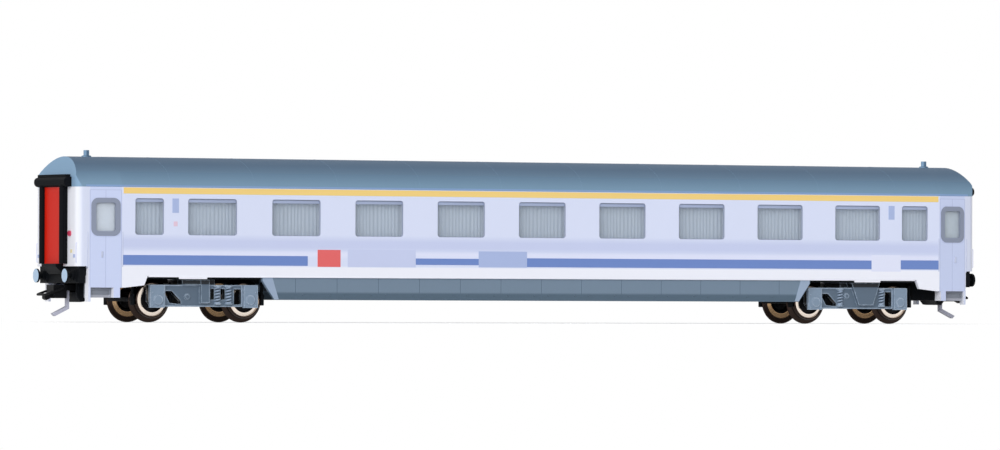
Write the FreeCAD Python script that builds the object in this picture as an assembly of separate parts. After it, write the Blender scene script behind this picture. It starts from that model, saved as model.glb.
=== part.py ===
"""Model railway passenger coach at 1:120: a corridor coach with nine compartments, on two bogies.

Millimetres. +X runs along the coach, +Z is up, and z = 0 is the lowest point of the wheel
flanges. The treads stand on the rail top, one flange depth higher.
"""
import FreeCAD, Part
import math
import os

V = FreeCAD.Vector
ENDS = (-1, 1)
SIDES = (-1, 1)
X_AXIS = V(1, 0, 0)
Y_AXIS = V(0, 1, 0)
Z_AXIS = V(0, 0, 1)

# ---- fits -------------------------------------------------------------------------------------
RUNNING_FIT = 0.06
INSERT_FIT = 0.08
OVERCUT = 2.0

# ---- wheels and axles -------------------------------------------------------------------------
FLANGE_DEPTH = 0.90
TREAD_RADIUS = 3.83
BACK_TO_BACK = 10.20
FLANGE_WIDTH = 0.60
WHEEL_WIDTH = 2.20
RIM_DEPTH = 1.30
RIM_FACE_DEPTH = 0.45
DISH_DEPTH = 0.65
DISC_THICKNESS = 0.90
HUB_RADIUS = 1.15
AXLE_RADIUS = 0.75
JOURNAL_RADIUS = 0.50
JOURNAL_LENGTH = 1.35
JOURNAL_END_GAP = 0.15
RAIL_TOP = FLANGE_DEPTH
AXLE_HEIGHT = RAIL_TOP + TREAD_RADIUS

# ---- body plan --------------------------------------------------------------------------------
END_X = 108.60
TAPER_X = 98.90
HALF_WIDTH = 11.77
END_INSET = 1.17
END_HALF_WIDTH = HALF_WIDTH - END_INSET
CORNER_RADIUS = 1.60
WALL = 0.90

# ---- heights; each _RISE is counted from the rail top ------------------------------------------
SIDE_BOTTOM_RISE = 8.80
SIDE_BOTTOM = RAIL_TOP + SIDE_BOTTOM_RISE
DOOR_ZONE_BOTTOM_RISE = 6.35
DOOR_ZONE_BOTTOM = RAIL_TOP + DOOR_ZONE_BOTTOM_RISE
STEP_PLATE_BOTTOM_RISE = 3.40
STEP_PLATE_BOTTOM = RAIL_TOP + STEP_PLATE_BOTTOM_RISE
EAVES_RISE = 27.30
EAVES = RAIL_TOP + EAVES_RISE
CROWN_RISE = 33.75
CROWN = RAIL_TOP + CROWN_RISE
HEADSTOCK_TOP_RISE = 10.75
HEADSTOCK_TOP = RAIL_TOP + HEADSTOCK_TOP_RISE
HEADSTOCK_BOTTOM_RISE = 7.25
HEADSTOCK_BOTTOM = RAIL_TOP + HEADSTOCK_BOTTOM_RISE
FLOOR_BOTTOM_RISE = 9.40
FLOOR_BOTTOM = RAIL_TOP + FLOOR_BOTTOM_RISE
FLOOR_THICKNESS = 1.00

# ---- body details along X ---------------------------------------------------------------------
SKIRT_CORNER_X = 93.00
SKIRT_KNEE_X = 93.80
SKIRT_KNEE_RISE = 6.85
SKIRT_KNEE = RAIL_TOP + SKIRT_KNEE_RISE
DOOR_ZONE_X = 98.30
DOOR_ZONE_END_X = 106.20
STEP_PLATE_THICKNESS = 0.50
STEP_PLATE_INSET = 2.57
STEP_PLATE_INSIDE = HALF_WIDTH - STEP_PLATE_INSET
STEP_CHEEK_LENGTH = 1.40
HEADSTOCK_BACK_X = 106.40
HEADSTOCK_FACE_X = 107.90
HEADSTOCK_INSET = 0.80
HEADSTOCK_HALF_WIDTH = END_HALF_WIDTH - HEADSTOCK_INSET
CENTRE_SILL_WIDTH = 1.50
CENTRE_SILL_BOTTOM_RISE = 7.30
CENTRE_SILL_BOTTOM = RAIL_TOP + CENTRE_SILL_BOTTOM_RISE
CENTRE_SILL_INNER_X = 62.00
CENTRE_SILL_PIVOT_GAP = 4.10
BEARER_RADIUS = 4.40
BEARER_GAP = 0.20

# ---- roof -------------------------------------------------------------------------------------
ROOF_SHOULDER_RISE = 3.20
ROOF_SHOULDER_INSET = 1.60
ROOF_SHOULDER_BULGE = 0.45
ROOF_THICKNESS = 0.90
ROOF_SLANT_RISE = 2.30
ROOF_SLANT_BASE = EAVES + ROOF_SLANT_RISE
ROOF_SLANT_DEPTH = 1.70
AERIAL_X = 101.80
AERIAL_RADIUS = 0.60
AERIAL_HEIGHT = 1.35

# ---- windows ----------------------------------------------------------------------------------
COMPARTMENTS = 9
COMPARTMENT_PITCH = 19.52
WINDOW_WIDTH = 11.35
NARROW_WINDOW_X = 92.60
NARROW_WINDOW_WIDTH = 6.60
WINDOW_SILL_RISE = 17.35
WINDOW_SILL = RAIL_TOP + WINDOW_SILL_RISE
WINDOW_HEIGHT = 7.65
WINDOW_CORNER = 0.60
GLAZING_THICKNESS = 0.60
GLASS_RECESS = 0.35
GLAZING_MARGIN = 0.90

# ---- entrance doors ---------------------------------------------------------------------------
DOOR_X = 102.45
DOOR_WINDOW_WIDTH = 6.30
DOOR_WINDOW_HEIGHT = 7.90
DOOR_WINDOW_CENTRE_RISE = 21.05
DOOR_WINDOW_CENTRE = RAIL_TOP + DOOR_WINDOW_CENTRE_RISE
DOOR_WINDOW_CORNER = 1.50
DOOR_FRAME_BORDER = 1.00
DOOR_FRAME_PROUD = 0.15
STEP_LENGTH = 4.90
STEP_INSET = 1.37
STEP_OUTSIDE = HALF_WIDTH - STEP_INSET
STEP_DEPTH = 2.80
STEP_INSIDE = STEP_OUTSIDE - STEP_DEPTH
STEP_HANGER_SETBACK = 0.80
STEP_THICKNESS = 0.50
STEP_BOTTOM_RISE = 4.25
STEP_BOTTOM = RAIL_TOP + STEP_BOTTOM_RISE

# ---- gangway ----------------------------------------------------------------------------------
GANGWAY_HALF_WIDTH = 5.65
GANGWAY_OPENING_HALF = 4.45
GANGWAY_BOTTOM_RISE = 11.30
GANGWAY_BOTTOM = RAIL_TOP + GANGWAY_BOTTOM_RISE
GANGWAY_DEPTH = 1.75
GANGWAY_TOP_HALF_WIDTH = 7.60
GANGWAY_TOP_RADIUS = 1.00
GANGWAY_ROLL_SETBACK = 0.15
GANGWAY_NOSE_SHARE = 0.45
GANGWAY_TOP_NOSE_SHARE = 0.90
GANGWAY_TOP_HEIGHT_RISE = 28.35
GANGWAY_TOP_HEIGHT = RAIL_TOP + GANGWAY_TOP_HEIGHT_RISE
GANGWAY_DOOR_THICKNESS = 0.70
HOOD_HALF_WIDTH = 7.10
HOOD_DEPTH = 1.15
HOOD_RISE = 0.55
FOOTPLATE_HALF_WIDTH = 3.60
FOOTPLATE_THICKNESS = 0.60
FOOTPLATE_BRACKET_DROP = 1.60
TAIL_LAMP_Y = 7.00
TAIL_LAMP_HEIGHT_RISE = 17.60
TAIL_LAMP_HEIGHT = RAIL_TOP + TAIL_LAMP_HEIGHT_RISE
TAIL_LAMP_RADIUS = 0.60
TAIL_LAMP_PROUD = 0.35

# ---- buffers ----------------------------------------------------------------------------------
BUFFER_Y = 7.29
BUFFER_HEIGHT_RISE = 8.83
BUFFER_HEIGHT = RAIL_TOP + BUFFER_HEIGHT_RISE
BUFFER_FACE_X = 110.00
BUFFER_PLATE_RADIUS = 1.45
BUFFER_PLATE_THICKNESS = 0.40
BUFFER_CASING_RADIUS = 1.00
BUFFER_CASING_LENGTH = 0.90
BUFFER_PLUNGER_RADIUS = 0.50

# ---- apron and underfloor equipment -----------------------------------------------------------
APRON_TOP_X = 66.30
APRON_BOTTOM_X = 63.50
APRON_SLANT_TOP_RISE = 7.90
APRON_SLANT_TOP = RAIL_TOP + APRON_SLANT_TOP_RISE
APRON_BOTTOM_RISE = 3.90
APRON_BOTTOM = RAIL_TOP + APRON_BOTTOM_RISE
APRON_INSET = 0.37
APRON_OUTSIDE = HALF_WIDTH - APRON_INSET
APRON_THICKNESS = 0.80
RESERVOIR_RADIUS = 1.70
RESERVOIR_LENGTH = 16.00
RESERVOIR_DROP = 0.40
STRAP_THICKNESS = 1.00
STRAP_WIDTH = 1.20

# ---- inside -----------------------------------------------------------------------------------
BALLAST_LENGTH = 150.00
BALLAST_WIDTH = 15.00
BALLAST_THICKNESS = 1.40
LINER_THICKNESS = 0.70
PARTITION_THICKNESS = 0.80
PARTITION_GAP = 0.40
PARTITION_TOP = EAVES - PARTITION_GAP
CORRIDOR_WALL_Y = 4.30
CORRIDOR_DOOR_WIDTH = 5.00
VESTIBULE_X = 97.00
DOORWAY_HEAD = 1.50
FOOT_LENGTH = 2.00
FOOT_WIDTH = 12.00
FOOT_SETBACK = 6.00
SEAT_END_GAP = 0.30
SEAT_DEPTH = 4.10
SEAT_HEIGHT = 3.40
SEAT_BACK_THICKNESS = 1.20
SEAT_BACK_HEIGHT = 8.60

# ---- bogies -----------------------------------------------------------------------------------
PIVOT_X = 79.17
WHEELBASE = 21.33
BOGIE_HALF_LENGTH = 12.50
BOGIE_TOP_RISE = 7.00
BOGIE_TOP = RAIL_TOP + BOGIE_TOP_RISE
BOGIE_BOTTOM_RISE = 2.40
BOGIE_BOTTOM = RAIL_TOP + BOGIE_BOTTOM_RISE
SIDE_FRAME_INSIDE = 8.00
SIDE_FRAME_THICKNESS = 1.40
FRAME_CHAMFER_RUN = 0.80
FRAME_CHAMFER_RISE = 1.00
BOLSTER_HALF_LENGTH = 3.40
BOLSTER_TOP_RISE = 8.10
BOLSTER_TOP = RAIL_TOP + BOLSTER_TOP_RISE
BOLSTER_BOTTOM_RISE = 5.40
BOLSTER_BOTTOM = RAIL_TOP + BOLSTER_BOTTOM_RISE
BRACKET_PROUD = 0.80
AXLE_BOX_WIDTH = 3.30
AXLE_BOX_OFFSET = 0.15
AXLE_BOX_BOTTOM_RISE = 2.20
AXLE_BOX_BOTTOM = RAIL_TOP + AXLE_BOX_BOTTOM_RISE
AXLE_BOX_TOP_RISE = 6.95
AXLE_BOX_TOP = RAIL_TOP + AXLE_BOX_TOP_RISE
AXLE_BOX_PROUD = 0.70
AXLE_COVER_RADIUS = 0.95
AXLE_COVER_PROUD = 0.30
SPRING_RADIUS = 0.70
SPRING_SEAT_RISE = 3.10
SPRING_SEAT = RAIL_TOP + SPRING_SEAT_RISE
SPRING_TOP_RISE = 6.60
SPRING_TOP = RAIL_TOP + SPRING_TOP_RISE
BOSS_RADIUS = 0.55
BOSS_PROUD = 0.35
PIVOT_PIN_RADIUS = 1.50
PIVOT_SHOULDER_RADIUS = 2.60
PIVOT_SHOULDER_GAP = 0.20

# ---- couplings --------------------------------------------------------------------------------
COUPLING_PIVOT_X = 99.20
COUPLING_PIN_RADIUS = 0.70
COUPLING_EYE_RADIUS = 1.50
DRAWBAR_TOP_RISE = 6.90
DRAWBAR_TOP = RAIL_TOP + DRAWBAR_TOP_RISE
DRAWBAR_THICKNESS = 1.20
DRAWBAR_WIDTH = 2.20
DRAWBAR_END_X = 107.00
GUIDE_BACK_X = 96.90
GUIDE_FRONT_X = 105.40
GUIDE_HALF_WIDTH = 3.40
GUIDE_WALL = 0.60
GUIDE_BOTTOM_RISE = 3.30
GUIDE_BOTTOM = RAIL_TOP + GUIDE_BOTTOM_RISE
GUIDE_CHAMFER = 2.00
GUIDE_FRONT_CHAMFER = 1.20
GUIDE_PLAY = 0.30
COUPLING_HEAD_END_X = 110.00
COUPLING_HEAD_WIDTH = 3.60
COUPLING_HEAD_TOP_RISE = 6.90
COUPLING_HEAD_TOP = RAIL_TOP + COUPLING_HEAD_TOP_RISE
COUPLING_HEAD_BOTTOM_RISE = 4.10
COUPLING_HEAD_BOTTOM = RAIL_TOP + COUPLING_HEAD_BOTTOM_RISE
COUPLING_HOOK_WIDTH = 1.40
COUPLING_TIP_X = 112.20
LOOP_BAR = 0.50
LOOP_WIDTH = 5.20
LOOP_PIVOT_X = 108.40
LOOP_REAR_HEIGHT_RISE = 6.20
LOOP_REAR_HEIGHT = RAIL_TOP + LOOP_REAR_HEIGHT_RISE
LOOP_FRONT_HEIGHT_RISE = 4.60
LOOP_FRONT_HEIGHT = RAIL_TOP + LOOP_FRONT_HEIGHT_RISE
TRIP_ARM_WIDTH = 1.20
TRIP_ARM_THICKNESS = 0.55
TRIP_ARM_X = 105.85
TRIP_ARM_KNEE_X = 106.35
TRIP_ARM_KNEE_RISE = 1.90
TRIP_ARM_KNEE = RAIL_TOP + TRIP_ARM_KNEE_RISE
TRIP_ARM_FOOT_X = 109.60
TRIP_ARM_FOOT_RISE = 0.35
TRIP_ARM_FOOT = RAIL_TOP + TRIP_ARM_FOOT_RISE


# ---- small helpers ----------------------------------------------------------------------------
def block(x0, x1, y0, y1, z0, z1):
    """A box between two X, two Y and two Z values, given in either order."""
    low = V(min(x0, x1), min(y0, y1), min(z0, z1))
    size = V(abs(x1 - x0), abs(y1 - y0), abs(z1 - z0))
    return Part.makeBox(size.x, size.y, size.z, low)


def rod(start, axis, radius, length):
    """A cylinder from start along axis."""
    return Part.makeCylinder(radius, length, start, axis)


def rounded(shape, radius, axis, chosen=None):
    """shape with its edges along axis rounded, or only those whose middle the test chosen accepts."""
    edges = []
    for edge in shape.Edges:
        first, last = edge.Vertexes[0].Point, edge.Vertexes[-1].Point
        along = (last - first).cross(axis).Length < 1e-6
        if along and (chosen is None or chosen((first + last) * 0.5)):
            edges.append(edge)
    return shape.makeFillet(radius, edges)


def polygon(points):
    """A face inside a closed outline of 3-D points."""
    return Part.Face(Part.makePolygon(points + [points[0]]))


def side_prism(outline, y0, y1):
    """A prism along Y over an outline of (x, z) points."""
    face = polygon([V(x, y0, z) for x, z in outline])
    return face.extrude(V(0, y1 - y0, 0))


def plan_prism(outline, z0, z1):
    """A prism along Z over an outline of (x, y) points."""
    face = polygon([V(x, y, z0) for x, y in outline])
    return face.extrude(V(0, 0, z1 - z0))


def joined(shapes):
    """One solid made of shapes that meet."""
    return shapes[0].multiFuse(shapes[1:]).removeSplitter()


def cut(shape, tools):
    """shape less every tool."""
    return shape.cut(Part.makeCompound(tools))


def placed(shape, x=0.0, turn=0.0):
    """A copy turned about the Z axis and then moved along X."""
    copy = shape.copy()
    copy.rotate(V(0, 0, 0), Z_AXIS, turn)
    copy.translate(V(x, 0, 0))
    return copy


def at_both_ends(shape):
    """The piece of the +X end, and the same piece turned round for the -X end."""
    return [placed(shape), placed(shape, turn=180)]


def mirrored(shape):
    """The piece at +Y and its mirror image at -Y."""
    return [shape, shape.mirror(V(0, 0, 0), Y_AXIS)]


def save(node, shapes):
    """Write one node, whose solids don't touch, as a STEP file."""
    solids = [solid for shape in shapes for solid in shape.Solids]
    whole = solids[0] if len(solids) == 1 else Part.makeCompound(solids)
    whole.exportStep("parts/" + node + ".step")


def rounded_window(x, z, width, height, corner, y0, y1):
    """A prism along Y over a rectangle with rounded corners, centred on x and z."""
    core = block(x - width / 2, x + width / 2, y0, y1, z - height / 2, z + height / 2)
    return rounded(core, corner, Y_AXIS)


# ---- body -------------------------------------------------------------------------------------
def body_plan(outset, bottom, top):
    """A prism over the coach's plan, with its narrower ends and rounded corners, grown by outset."""
    wide, narrow, end = HALF_WIDTH + outset, END_HALF_WIDTH + outset, END_X + outset
    right = [(TAPER_X, -wide), (end, -narrow), (end, narrow), (TAPER_X, wide)]
    prism = plan_prism(right + [(-x, -y) for x, y in right], bottom, top)
    return rounded(prism, CORNER_RADIUS + outset, Z_AXIS, lambda middle: abs(middle.x) > end - 0.01)


def body_ring(outer, inner, bottom, top):
    """A wall that follows the plan, from its inner outset to its outer outset."""
    return body_plan(outer, bottom, top).cut(body_plan(inner, bottom - OVERCUT, top + OVERCUT))


def main_windows():
    """(centre x, width) of the windows along one side."""
    row = [((i - (COMPARTMENTS - 1) / 2) * COMPARTMENT_PITCH, WINDOW_WIDTH) for i in range(COMPARTMENTS)]
    return row + [(end * NARROW_WINDOW_X, NARROW_WINDOW_WIDTH) for end in ENDS]


def window_prisms(clearance, y0, y1):
    """Prisms through the main windows, smaller than the openings by clearance all round."""
    centre_z = WINDOW_SILL + WINDOW_HEIGHT / 2
    less = 2 * clearance
    return [
        rounded_window(x, centre_z, width - less, WINDOW_HEIGHT - less, WINDOW_CORNER, y0, y1)
        for x, width in main_windows()
    ]


def door_window_prisms(border):
    """Prisms through the four door windows, narrower by border all round."""
    width = DOOR_WINDOW_WIDTH - 2 * border
    height = DOOR_WINDOW_HEIGHT - 2 * border
    corner = DOOR_WINDOW_CORNER - border
    reach = HALF_WIDTH + OVERCUT
    return [
        rounded_window(end * DOOR_X, DOOR_WINDOW_CENTRE, width, height, corner, 0, side * reach)
        for end in ENDS
        for side in SIDES
    ]


def body_shell():
    """Sides and ends in one moulding, with its windows."""
    half = [
        (DOOR_ZONE_END_X, SIDE_BOTTOM),
        (DOOR_ZONE_END_X, HEADSTOCK_TOP),
        (END_X + OVERCUT, HEADSTOCK_TOP),
        (END_X + OVERCUT, EAVES),
    ]
    outline = half + [(-x, z) for x, z in reversed(half)]
    reach = HALF_WIDTH + OVERCUT
    shell = body_ring(0, -WALL, SIDE_BOTTOM, EAVES).common(side_prism(outline, -reach, reach))
    return cut(shell, window_prisms(0, -reach, reach) + door_window_prisms(0))


def skirt_corners():
    """The skirt below each door, with the plate and the cheek that close the step well at its ends."""
    outline = [
        (SKIRT_CORNER_X, SIDE_BOTTOM),
        (SKIRT_KNEE_X, SKIRT_KNEE),
        (DOOR_ZONE_X, DOOR_ZONE_BOTTOM),
        (DOOR_ZONE_END_X, DOOR_ZONE_BOTTOM),
        (DOOR_ZONE_END_X, SIDE_BOTTOM),
    ]
    reach = HALF_WIDTH + OVERCUT
    wall = body_ring(0, -WALL, DOOR_ZONE_BOTTOM, SIDE_BOTTOM)
    plan = body_plan(0, STEP_PLATE_BOTTOM, SIDE_BOTTOM)
    plate_x = DOOR_ZONE_END_X - STEP_PLATE_THICKNESS
    cheek_x = plate_x - STEP_LENGTH - INSERT_FIT
    corners = []
    for end in ENDS:
        for side in SIDES:
            y0, y1 = side * STEP_PLATE_INSIDE, side * reach
            skirt = side_prism([(end * x, z) for x, z in outline], 0, y1).common(wall)
            plate = block(end * plate_x, end * DOOR_ZONE_END_X, y0, y1, STEP_PLATE_BOTTOM, SIDE_BOTTOM)
            cheek = block(end * (cheek_x - STEP_CHEEK_LENGTH), end * cheek_x, y0, y1,
                          STEP_BOTTOM, SIDE_BOTTOM)
            corners.append(joined([skirt, plate.common(plan), cheek.common(plan)]))
    return corners


def window_glazing():
    """A clear strip inside each side, with a raised pane in every window."""
    inner = HALF_WIDTH - WALL
    length = NARROW_WINDOW_X + NARROW_WINDOW_WIDTH / 2 + GLAZING_MARGIN
    strip = block(
        -length, length, inner - GLAZING_THICKNESS, inner,
        WINDOW_SILL - GLAZING_MARGIN, WINDOW_SILL + WINDOW_HEIGHT + GLAZING_MARGIN,
    )
    panes = window_prisms(INSERT_FIT, inner - GLAZING_THICKNESS / 2, HALF_WIDTH - GLASS_RECESS)
    return mirrored(joined([strip] + panes))


def door_band(outer, inner):
    """The tapered side walls at the doors, between two outsets."""
    height = DOOR_WINDOW_HEIGHT + 2 * OVERCUT
    return body_ring(outer, inner, DOOR_WINDOW_CENTRE - height / 2, DOOR_WINDOW_CENTRE + height / 2)


def door_window_frames():
    """A dark frame round each door window, a little proud of the door."""
    band = door_band(DOOR_FRAME_PROUD, -WALL)
    outer = door_window_prisms(0)
    inner = door_window_prisms(DOOR_FRAME_BORDER)
    return [band.common(big).cut(small) for big, small in zip(outer, inner)]


def door_window_panes():
    """The clear pane inside each door window frame."""
    band = door_band(-GLASS_RECESS, -WALL)
    return [band.common(prism) for prism in door_window_prisms(DOOR_FRAME_BORDER)]


# ---- roof -------------------------------------------------------------------------------------
def roof_section(x, half_width, inset):
    """The roof's cross-section at x: a low crown arc between two rounder shoulders."""
    half = half_width - inset
    base = EAVES
    crown = CROWN - inset
    shoulder_y = half - ROOF_SHOULDER_INSET
    shoulder_z = base + ROOF_SHOULDER_RISE
    bulge_y = half - ROOF_SHOULDER_INSET / 2 + ROOF_SHOULDER_BULGE / 2
    bulge_z = base + ROOF_SHOULDER_RISE / 2 + ROOF_SHOULDER_BULGE / 4
    corners = [
        V(x, -half, base),
        V(x, -shoulder_y, shoulder_z),
        V(x, shoulder_y, shoulder_z),
        V(x, half, base),
    ]
    edges = [
        Part.Arc(corners[0], V(x, -bulge_y, bulge_z), corners[1]).toShape(),
        Part.Arc(corners[1], V(x, 0, crown), corners[2]).toShape(),
        Part.Arc(corners[2], V(x, bulge_y, bulge_z), corners[3]).toShape(),
        Part.LineSegment(corners[3], corners[0]).toShape(),
    ]
    return Part.Wire(edges)


def roof_solid(inset):
    """A solid under the roof's skin, straight in the middle and narrower towards the ends."""
    end = END_X - inset
    middle = Part.Face(roof_section(-TAPER_X, HALF_WIDTH, inset)).extrude(V(2 * TAPER_X, 0, 0))
    tapers = []
    for way in ENDS:
        wide = roof_section(way * TAPER_X, HALF_WIDTH, inset)
        narrow = roof_section(way * end, END_HALF_WIDTH, inset)
        tapers.append(Part.makeLoft([wide, narrow], True, True))
    return joined([middle] + tapers)


def roof_side_profile(inset):
    """The roof seen from the side, with its ends slanting back up to the crown."""
    top = CROWN + OVERCUT
    run = ROOF_SLANT_DEPTH * (top - ROOF_SLANT_BASE) / (CROWN - ROOF_SLANT_BASE)
    end = END_X - inset
    half = [(end, EAVES - OVERCUT), (end, ROOF_SLANT_BASE), (end - run, top)]
    return half + [(-x, z) for x, z in reversed(half)]


def roof():
    """The roof moulding: a skin over the whole length, open underneath."""
    reach = HALF_WIDTH + OVERCUT
    skins = []
    for inset in (0, ROOF_THICKNESS):
        ends = side_prism(roof_side_profile(inset), -reach, reach)
        plan = body_plan(-inset, EAVES - OVERCUT, CROWN + OVERCUT)
        skins.append(roof_solid(inset).common(ends).common(plan))
    return skins[0].cut(skins[1])


def roof_aerials():
    """A short aerial stub on the crown near each end."""
    return [rod(V(end * AERIAL_X, 0, CROWN), Z_AXIS, AERIAL_RADIUS, AERIAL_HEIGHT) for end in ENDS]


# ---- ends -------------------------------------------------------------------------------------
def gangway_bellows():
    """Two upright rolls and a longer roll across their top, with rounded faces, under a low hood."""
    face = END_X + GANGWAY_DEPTH
    upright_face = face - GANGWAY_ROLL_SETBACK
    nose = GANGWAY_NOSE_SHARE * (GANGWAY_HALF_WIDTH - GANGWAY_OPENING_HALF)
    rolls = []
    for side in SIDES:
        post = block(END_X, upright_face, side * GANGWAY_OPENING_HALF, side * GANGWAY_HALF_WIDTH,
                     GANGWAY_BOTTOM, GANGWAY_TOP_HEIGHT)
        rolls.append(rounded(post, nose, Z_AXIS, lambda middle: middle.x > upright_face - nose))
    top = block(
        END_X, face, -GANGWAY_TOP_HALF_WIDTH, GANGWAY_TOP_HALF_WIDTH,
        GANGWAY_TOP_HEIGHT - GANGWAY_TOP_RADIUS, GANGWAY_TOP_HEIGHT + GANGWAY_TOP_RADIUS,
    )
    radius = GANGWAY_TOP_NOSE_SHARE * GANGWAY_TOP_RADIUS
    rolls.append(rounded(top, radius, Y_AXIS, lambda middle: middle.x > face - nose))
    hood_base = GANGWAY_TOP_HEIGHT + GANGWAY_TOP_RADIUS
    rolls.append(block(END_X + INSERT_FIT, END_X + HOOD_DEPTH, -HOOD_HALF_WIDTH, HOOD_HALF_WIDTH,
                       hood_base, hood_base + HOOD_RISE))
    return at_both_ends(joined(rolls))


def gangway_doors():
    """The red end door between the bellows' rolls."""
    half = GANGWAY_OPENING_HALF - INSERT_FIT
    top = GANGWAY_TOP_HEIGHT - GANGWAY_TOP_RADIUS - INSERT_FIT
    return at_both_ends(block(END_X, END_X + GANGWAY_DOOR_THICKNESS, -half, half, GANGWAY_BOTTOM, top))


def tail_lamps():
    """Two red tail lamps on each end wall."""
    lamps = [
        rod(V(END_X, side * TAIL_LAMP_Y, TAIL_LAMP_HEIGHT), X_AXIS, TAIL_LAMP_RADIUS, TAIL_LAMP_PROUD)
        for side in SIDES
    ]
    return at_both_ends(lamps[0]) + at_both_ends(lamps[1])


def headstocks():
    """The black buffer beam across each end."""
    half = HEADSTOCK_HALF_WIDTH
    beam = block(HEADSTOCK_BACK_X, HEADSTOCK_FACE_X, -half, half, HEADSTOCK_BOTTOM, HEADSTOCK_TOP)
    return at_both_ends(beam)


def gangway_footplates():
    """The footplate below each gangway, on a tapered bracket."""
    back, front = END_X, END_X + GANGWAY_DEPTH
    foot = HEADSTOCK_TOP - FOOTPLATE_BRACKET_DROP
    outline = [
        (HEADSTOCK_FACE_X, foot),
        (back, foot),
        (front, GANGWAY_BOTTOM - FOOTPLATE_THICKNESS),
        (front, GANGWAY_BOTTOM),
        (back, GANGWAY_BOTTOM),
        (back, HEADSTOCK_TOP),
        (HEADSTOCK_FACE_X, HEADSTOCK_TOP),
    ]
    return at_both_ends(side_prism(outline, -FOOTPLATE_HALF_WIDTH, FOOTPLATE_HALF_WIDTH))


def buffer_casings():
    """The dark casing and plunger of each buffer."""
    pieces = []
    for side in SIDES:
        start = V(HEADSTOCK_FACE_X, side * BUFFER_Y, BUFFER_HEIGHT)
        casing = rod(start, X_AXIS, BUFFER_CASING_RADIUS, BUFFER_CASING_LENGTH)
        plunger_length = BUFFER_FACE_X - BUFFER_PLATE_THICKNESS - HEADSTOCK_FACE_X
        plunger = rod(start, X_AXIS, BUFFER_PLUNGER_RADIUS, plunger_length)
        pieces += at_both_ends(joined([casing, plunger]))
    return pieces


def buffer_plates():
    """The round buffer plates."""
    pieces = []
    for side in SIDES:
        start = V(BUFFER_FACE_X - BUFFER_PLATE_THICKNESS, side * BUFFER_Y, BUFFER_HEIGHT)
        pieces += at_both_ends(rod(start, X_AXIS, BUFFER_PLATE_RADIUS, BUFFER_PLATE_THICKNESS))
    return pieces


def entrance_steps():
    """A step unit below each entrance door: two treads with a back, risers at both ends and hangers."""
    pieces = []
    x1 = DOOR_ZONE_END_X - STEP_PLATE_THICKNESS
    x0 = x1 - STEP_LENGTH
    thick = STEP_THICKNESS
    upper = DOOR_ZONE_BOTTOM - thick
    for side in SIDES:
        inside, outside = side * STEP_INSIDE, side * STEP_OUTSIDE
        hanger = outside - side * STEP_HANGER_SETBACK
        treads = [block(x0, x1, inside, outside, z, z + thick) for z in (STEP_BOTTOM, upper)]
        places = (x0, x1 - thick)
        risers = [block(x, x + thick, inside, outside, STEP_BOTTOM, upper + thick) for x in places]
        hangers = [block(x, x + thick, inside, hanger, upper, FLOOR_BOTTOM) for x in places]
        back = block(x0, x1, inside, inside + side * thick, STEP_BOTTOM, upper + thick)
        pieces += at_both_ends(joined(treads + risers + hangers + [back]))
    return pieces


# ---- underframe -------------------------------------------------------------------------------
def pivot_bore(x, radius, bottom, top):
    """A tool that bores a hole at a bogie pivot."""
    return rod(V(x, 0, bottom - OVERCUT), Z_AXIS, radius, top - bottom + 2 * OVERCUT)


def floor_plate():
    """The floor of the underframe, with bores for the bogies' pivot pins."""
    top = FLOOR_BOTTOM + FLOOR_THICKNESS
    reach = HALF_WIDTH + OVERCUT
    between_headstocks = block(-HEADSTOCK_BACK_X, HEADSTOCK_BACK_X, -reach, reach, FLOOR_BOTTOM, top)
    plate = body_plan(-WALL - INSERT_FIT, FLOOR_BOTTOM, top).common(between_headstocks)
    radius = PIVOT_PIN_RADIUS + RUNNING_FIT
    return [cut(plate, [pivot_bore(end * PIVOT_X, radius, FLOOR_BOTTOM, top) for end in ENDS])]


def centre_sills():
    """At each bogie: a sill under the floor before and behind the pivot, and the bearer ring round it."""
    half = CENTRE_SILL_WIDTH / 2
    runs = [
        (PIVOT_X + CENTRE_SILL_PIVOT_GAP, GUIDE_BACK_X),
        (CENTRE_SILL_INNER_X, PIVOT_X - CENTRE_SILL_PIVOT_GAP),
    ]
    bottom = BOLSTER_TOP + BEARER_GAP
    pieces = []
    for end in ENDS:
        sills = [
            block(end * x0, end * x1, -half, half, CENTRE_SILL_BOTTOM, FLOOR_BOTTOM)
            for x0, x1 in runs
        ]
        ring = rod(V(end * PIVOT_X, 0, bottom), Z_AXIS, BEARER_RADIUS, FLOOR_BOTTOM - bottom)
        bore = pivot_bore(end * PIVOT_X, PIVOT_SHOULDER_RADIUS + BEARER_GAP, bottom, FLOOR_BOTTOM)
        pieces.append(joined([ring.cut(bore)] + sills))
    return pieces


def coupling_guides():
    """The housing under the floor at each end, open in front, with the pin that the drawbar turns on."""
    back, front = GUIDE_CHAMFER, GUIDE_FRONT_CHAMFER
    outline = [
        (GUIDE_BACK_X, FLOOR_BOTTOM),
        (GUIDE_BACK_X, GUIDE_BOTTOM + back),
        (GUIDE_BACK_X + back, GUIDE_BOTTOM),
        (GUIDE_FRONT_X - front, GUIDE_BOTTOM),
        (GUIDE_FRONT_X, GUIDE_BOTTOM + front),
        (GUIDE_FRONT_X, FLOOR_BOTTOM),
    ]
    housing = side_prism(outline, -GUIDE_HALF_WIDTH, GUIDE_HALF_WIDTH)
    low = DRAWBAR_TOP - DRAWBAR_THICKNESS - GUIDE_PLAY
    high = DRAWBAR_TOP + GUIDE_PLAY
    half = GUIDE_HALF_WIDTH - GUIDE_WALL
    cavity = block(GUIDE_BACK_X + GUIDE_WALL, GUIDE_FRONT_X + OVERCUT, -half, half, low, high)
    pin_start = V(COUPLING_PIVOT_X, 0, low - GUIDE_WALL / 2)
    pin = rod(pin_start, Z_AXIS, COUPLING_PIN_RADIUS, high - low + GUIDE_WALL)
    return at_both_ends(joined([housing.cut(cavity), pin]))


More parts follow.
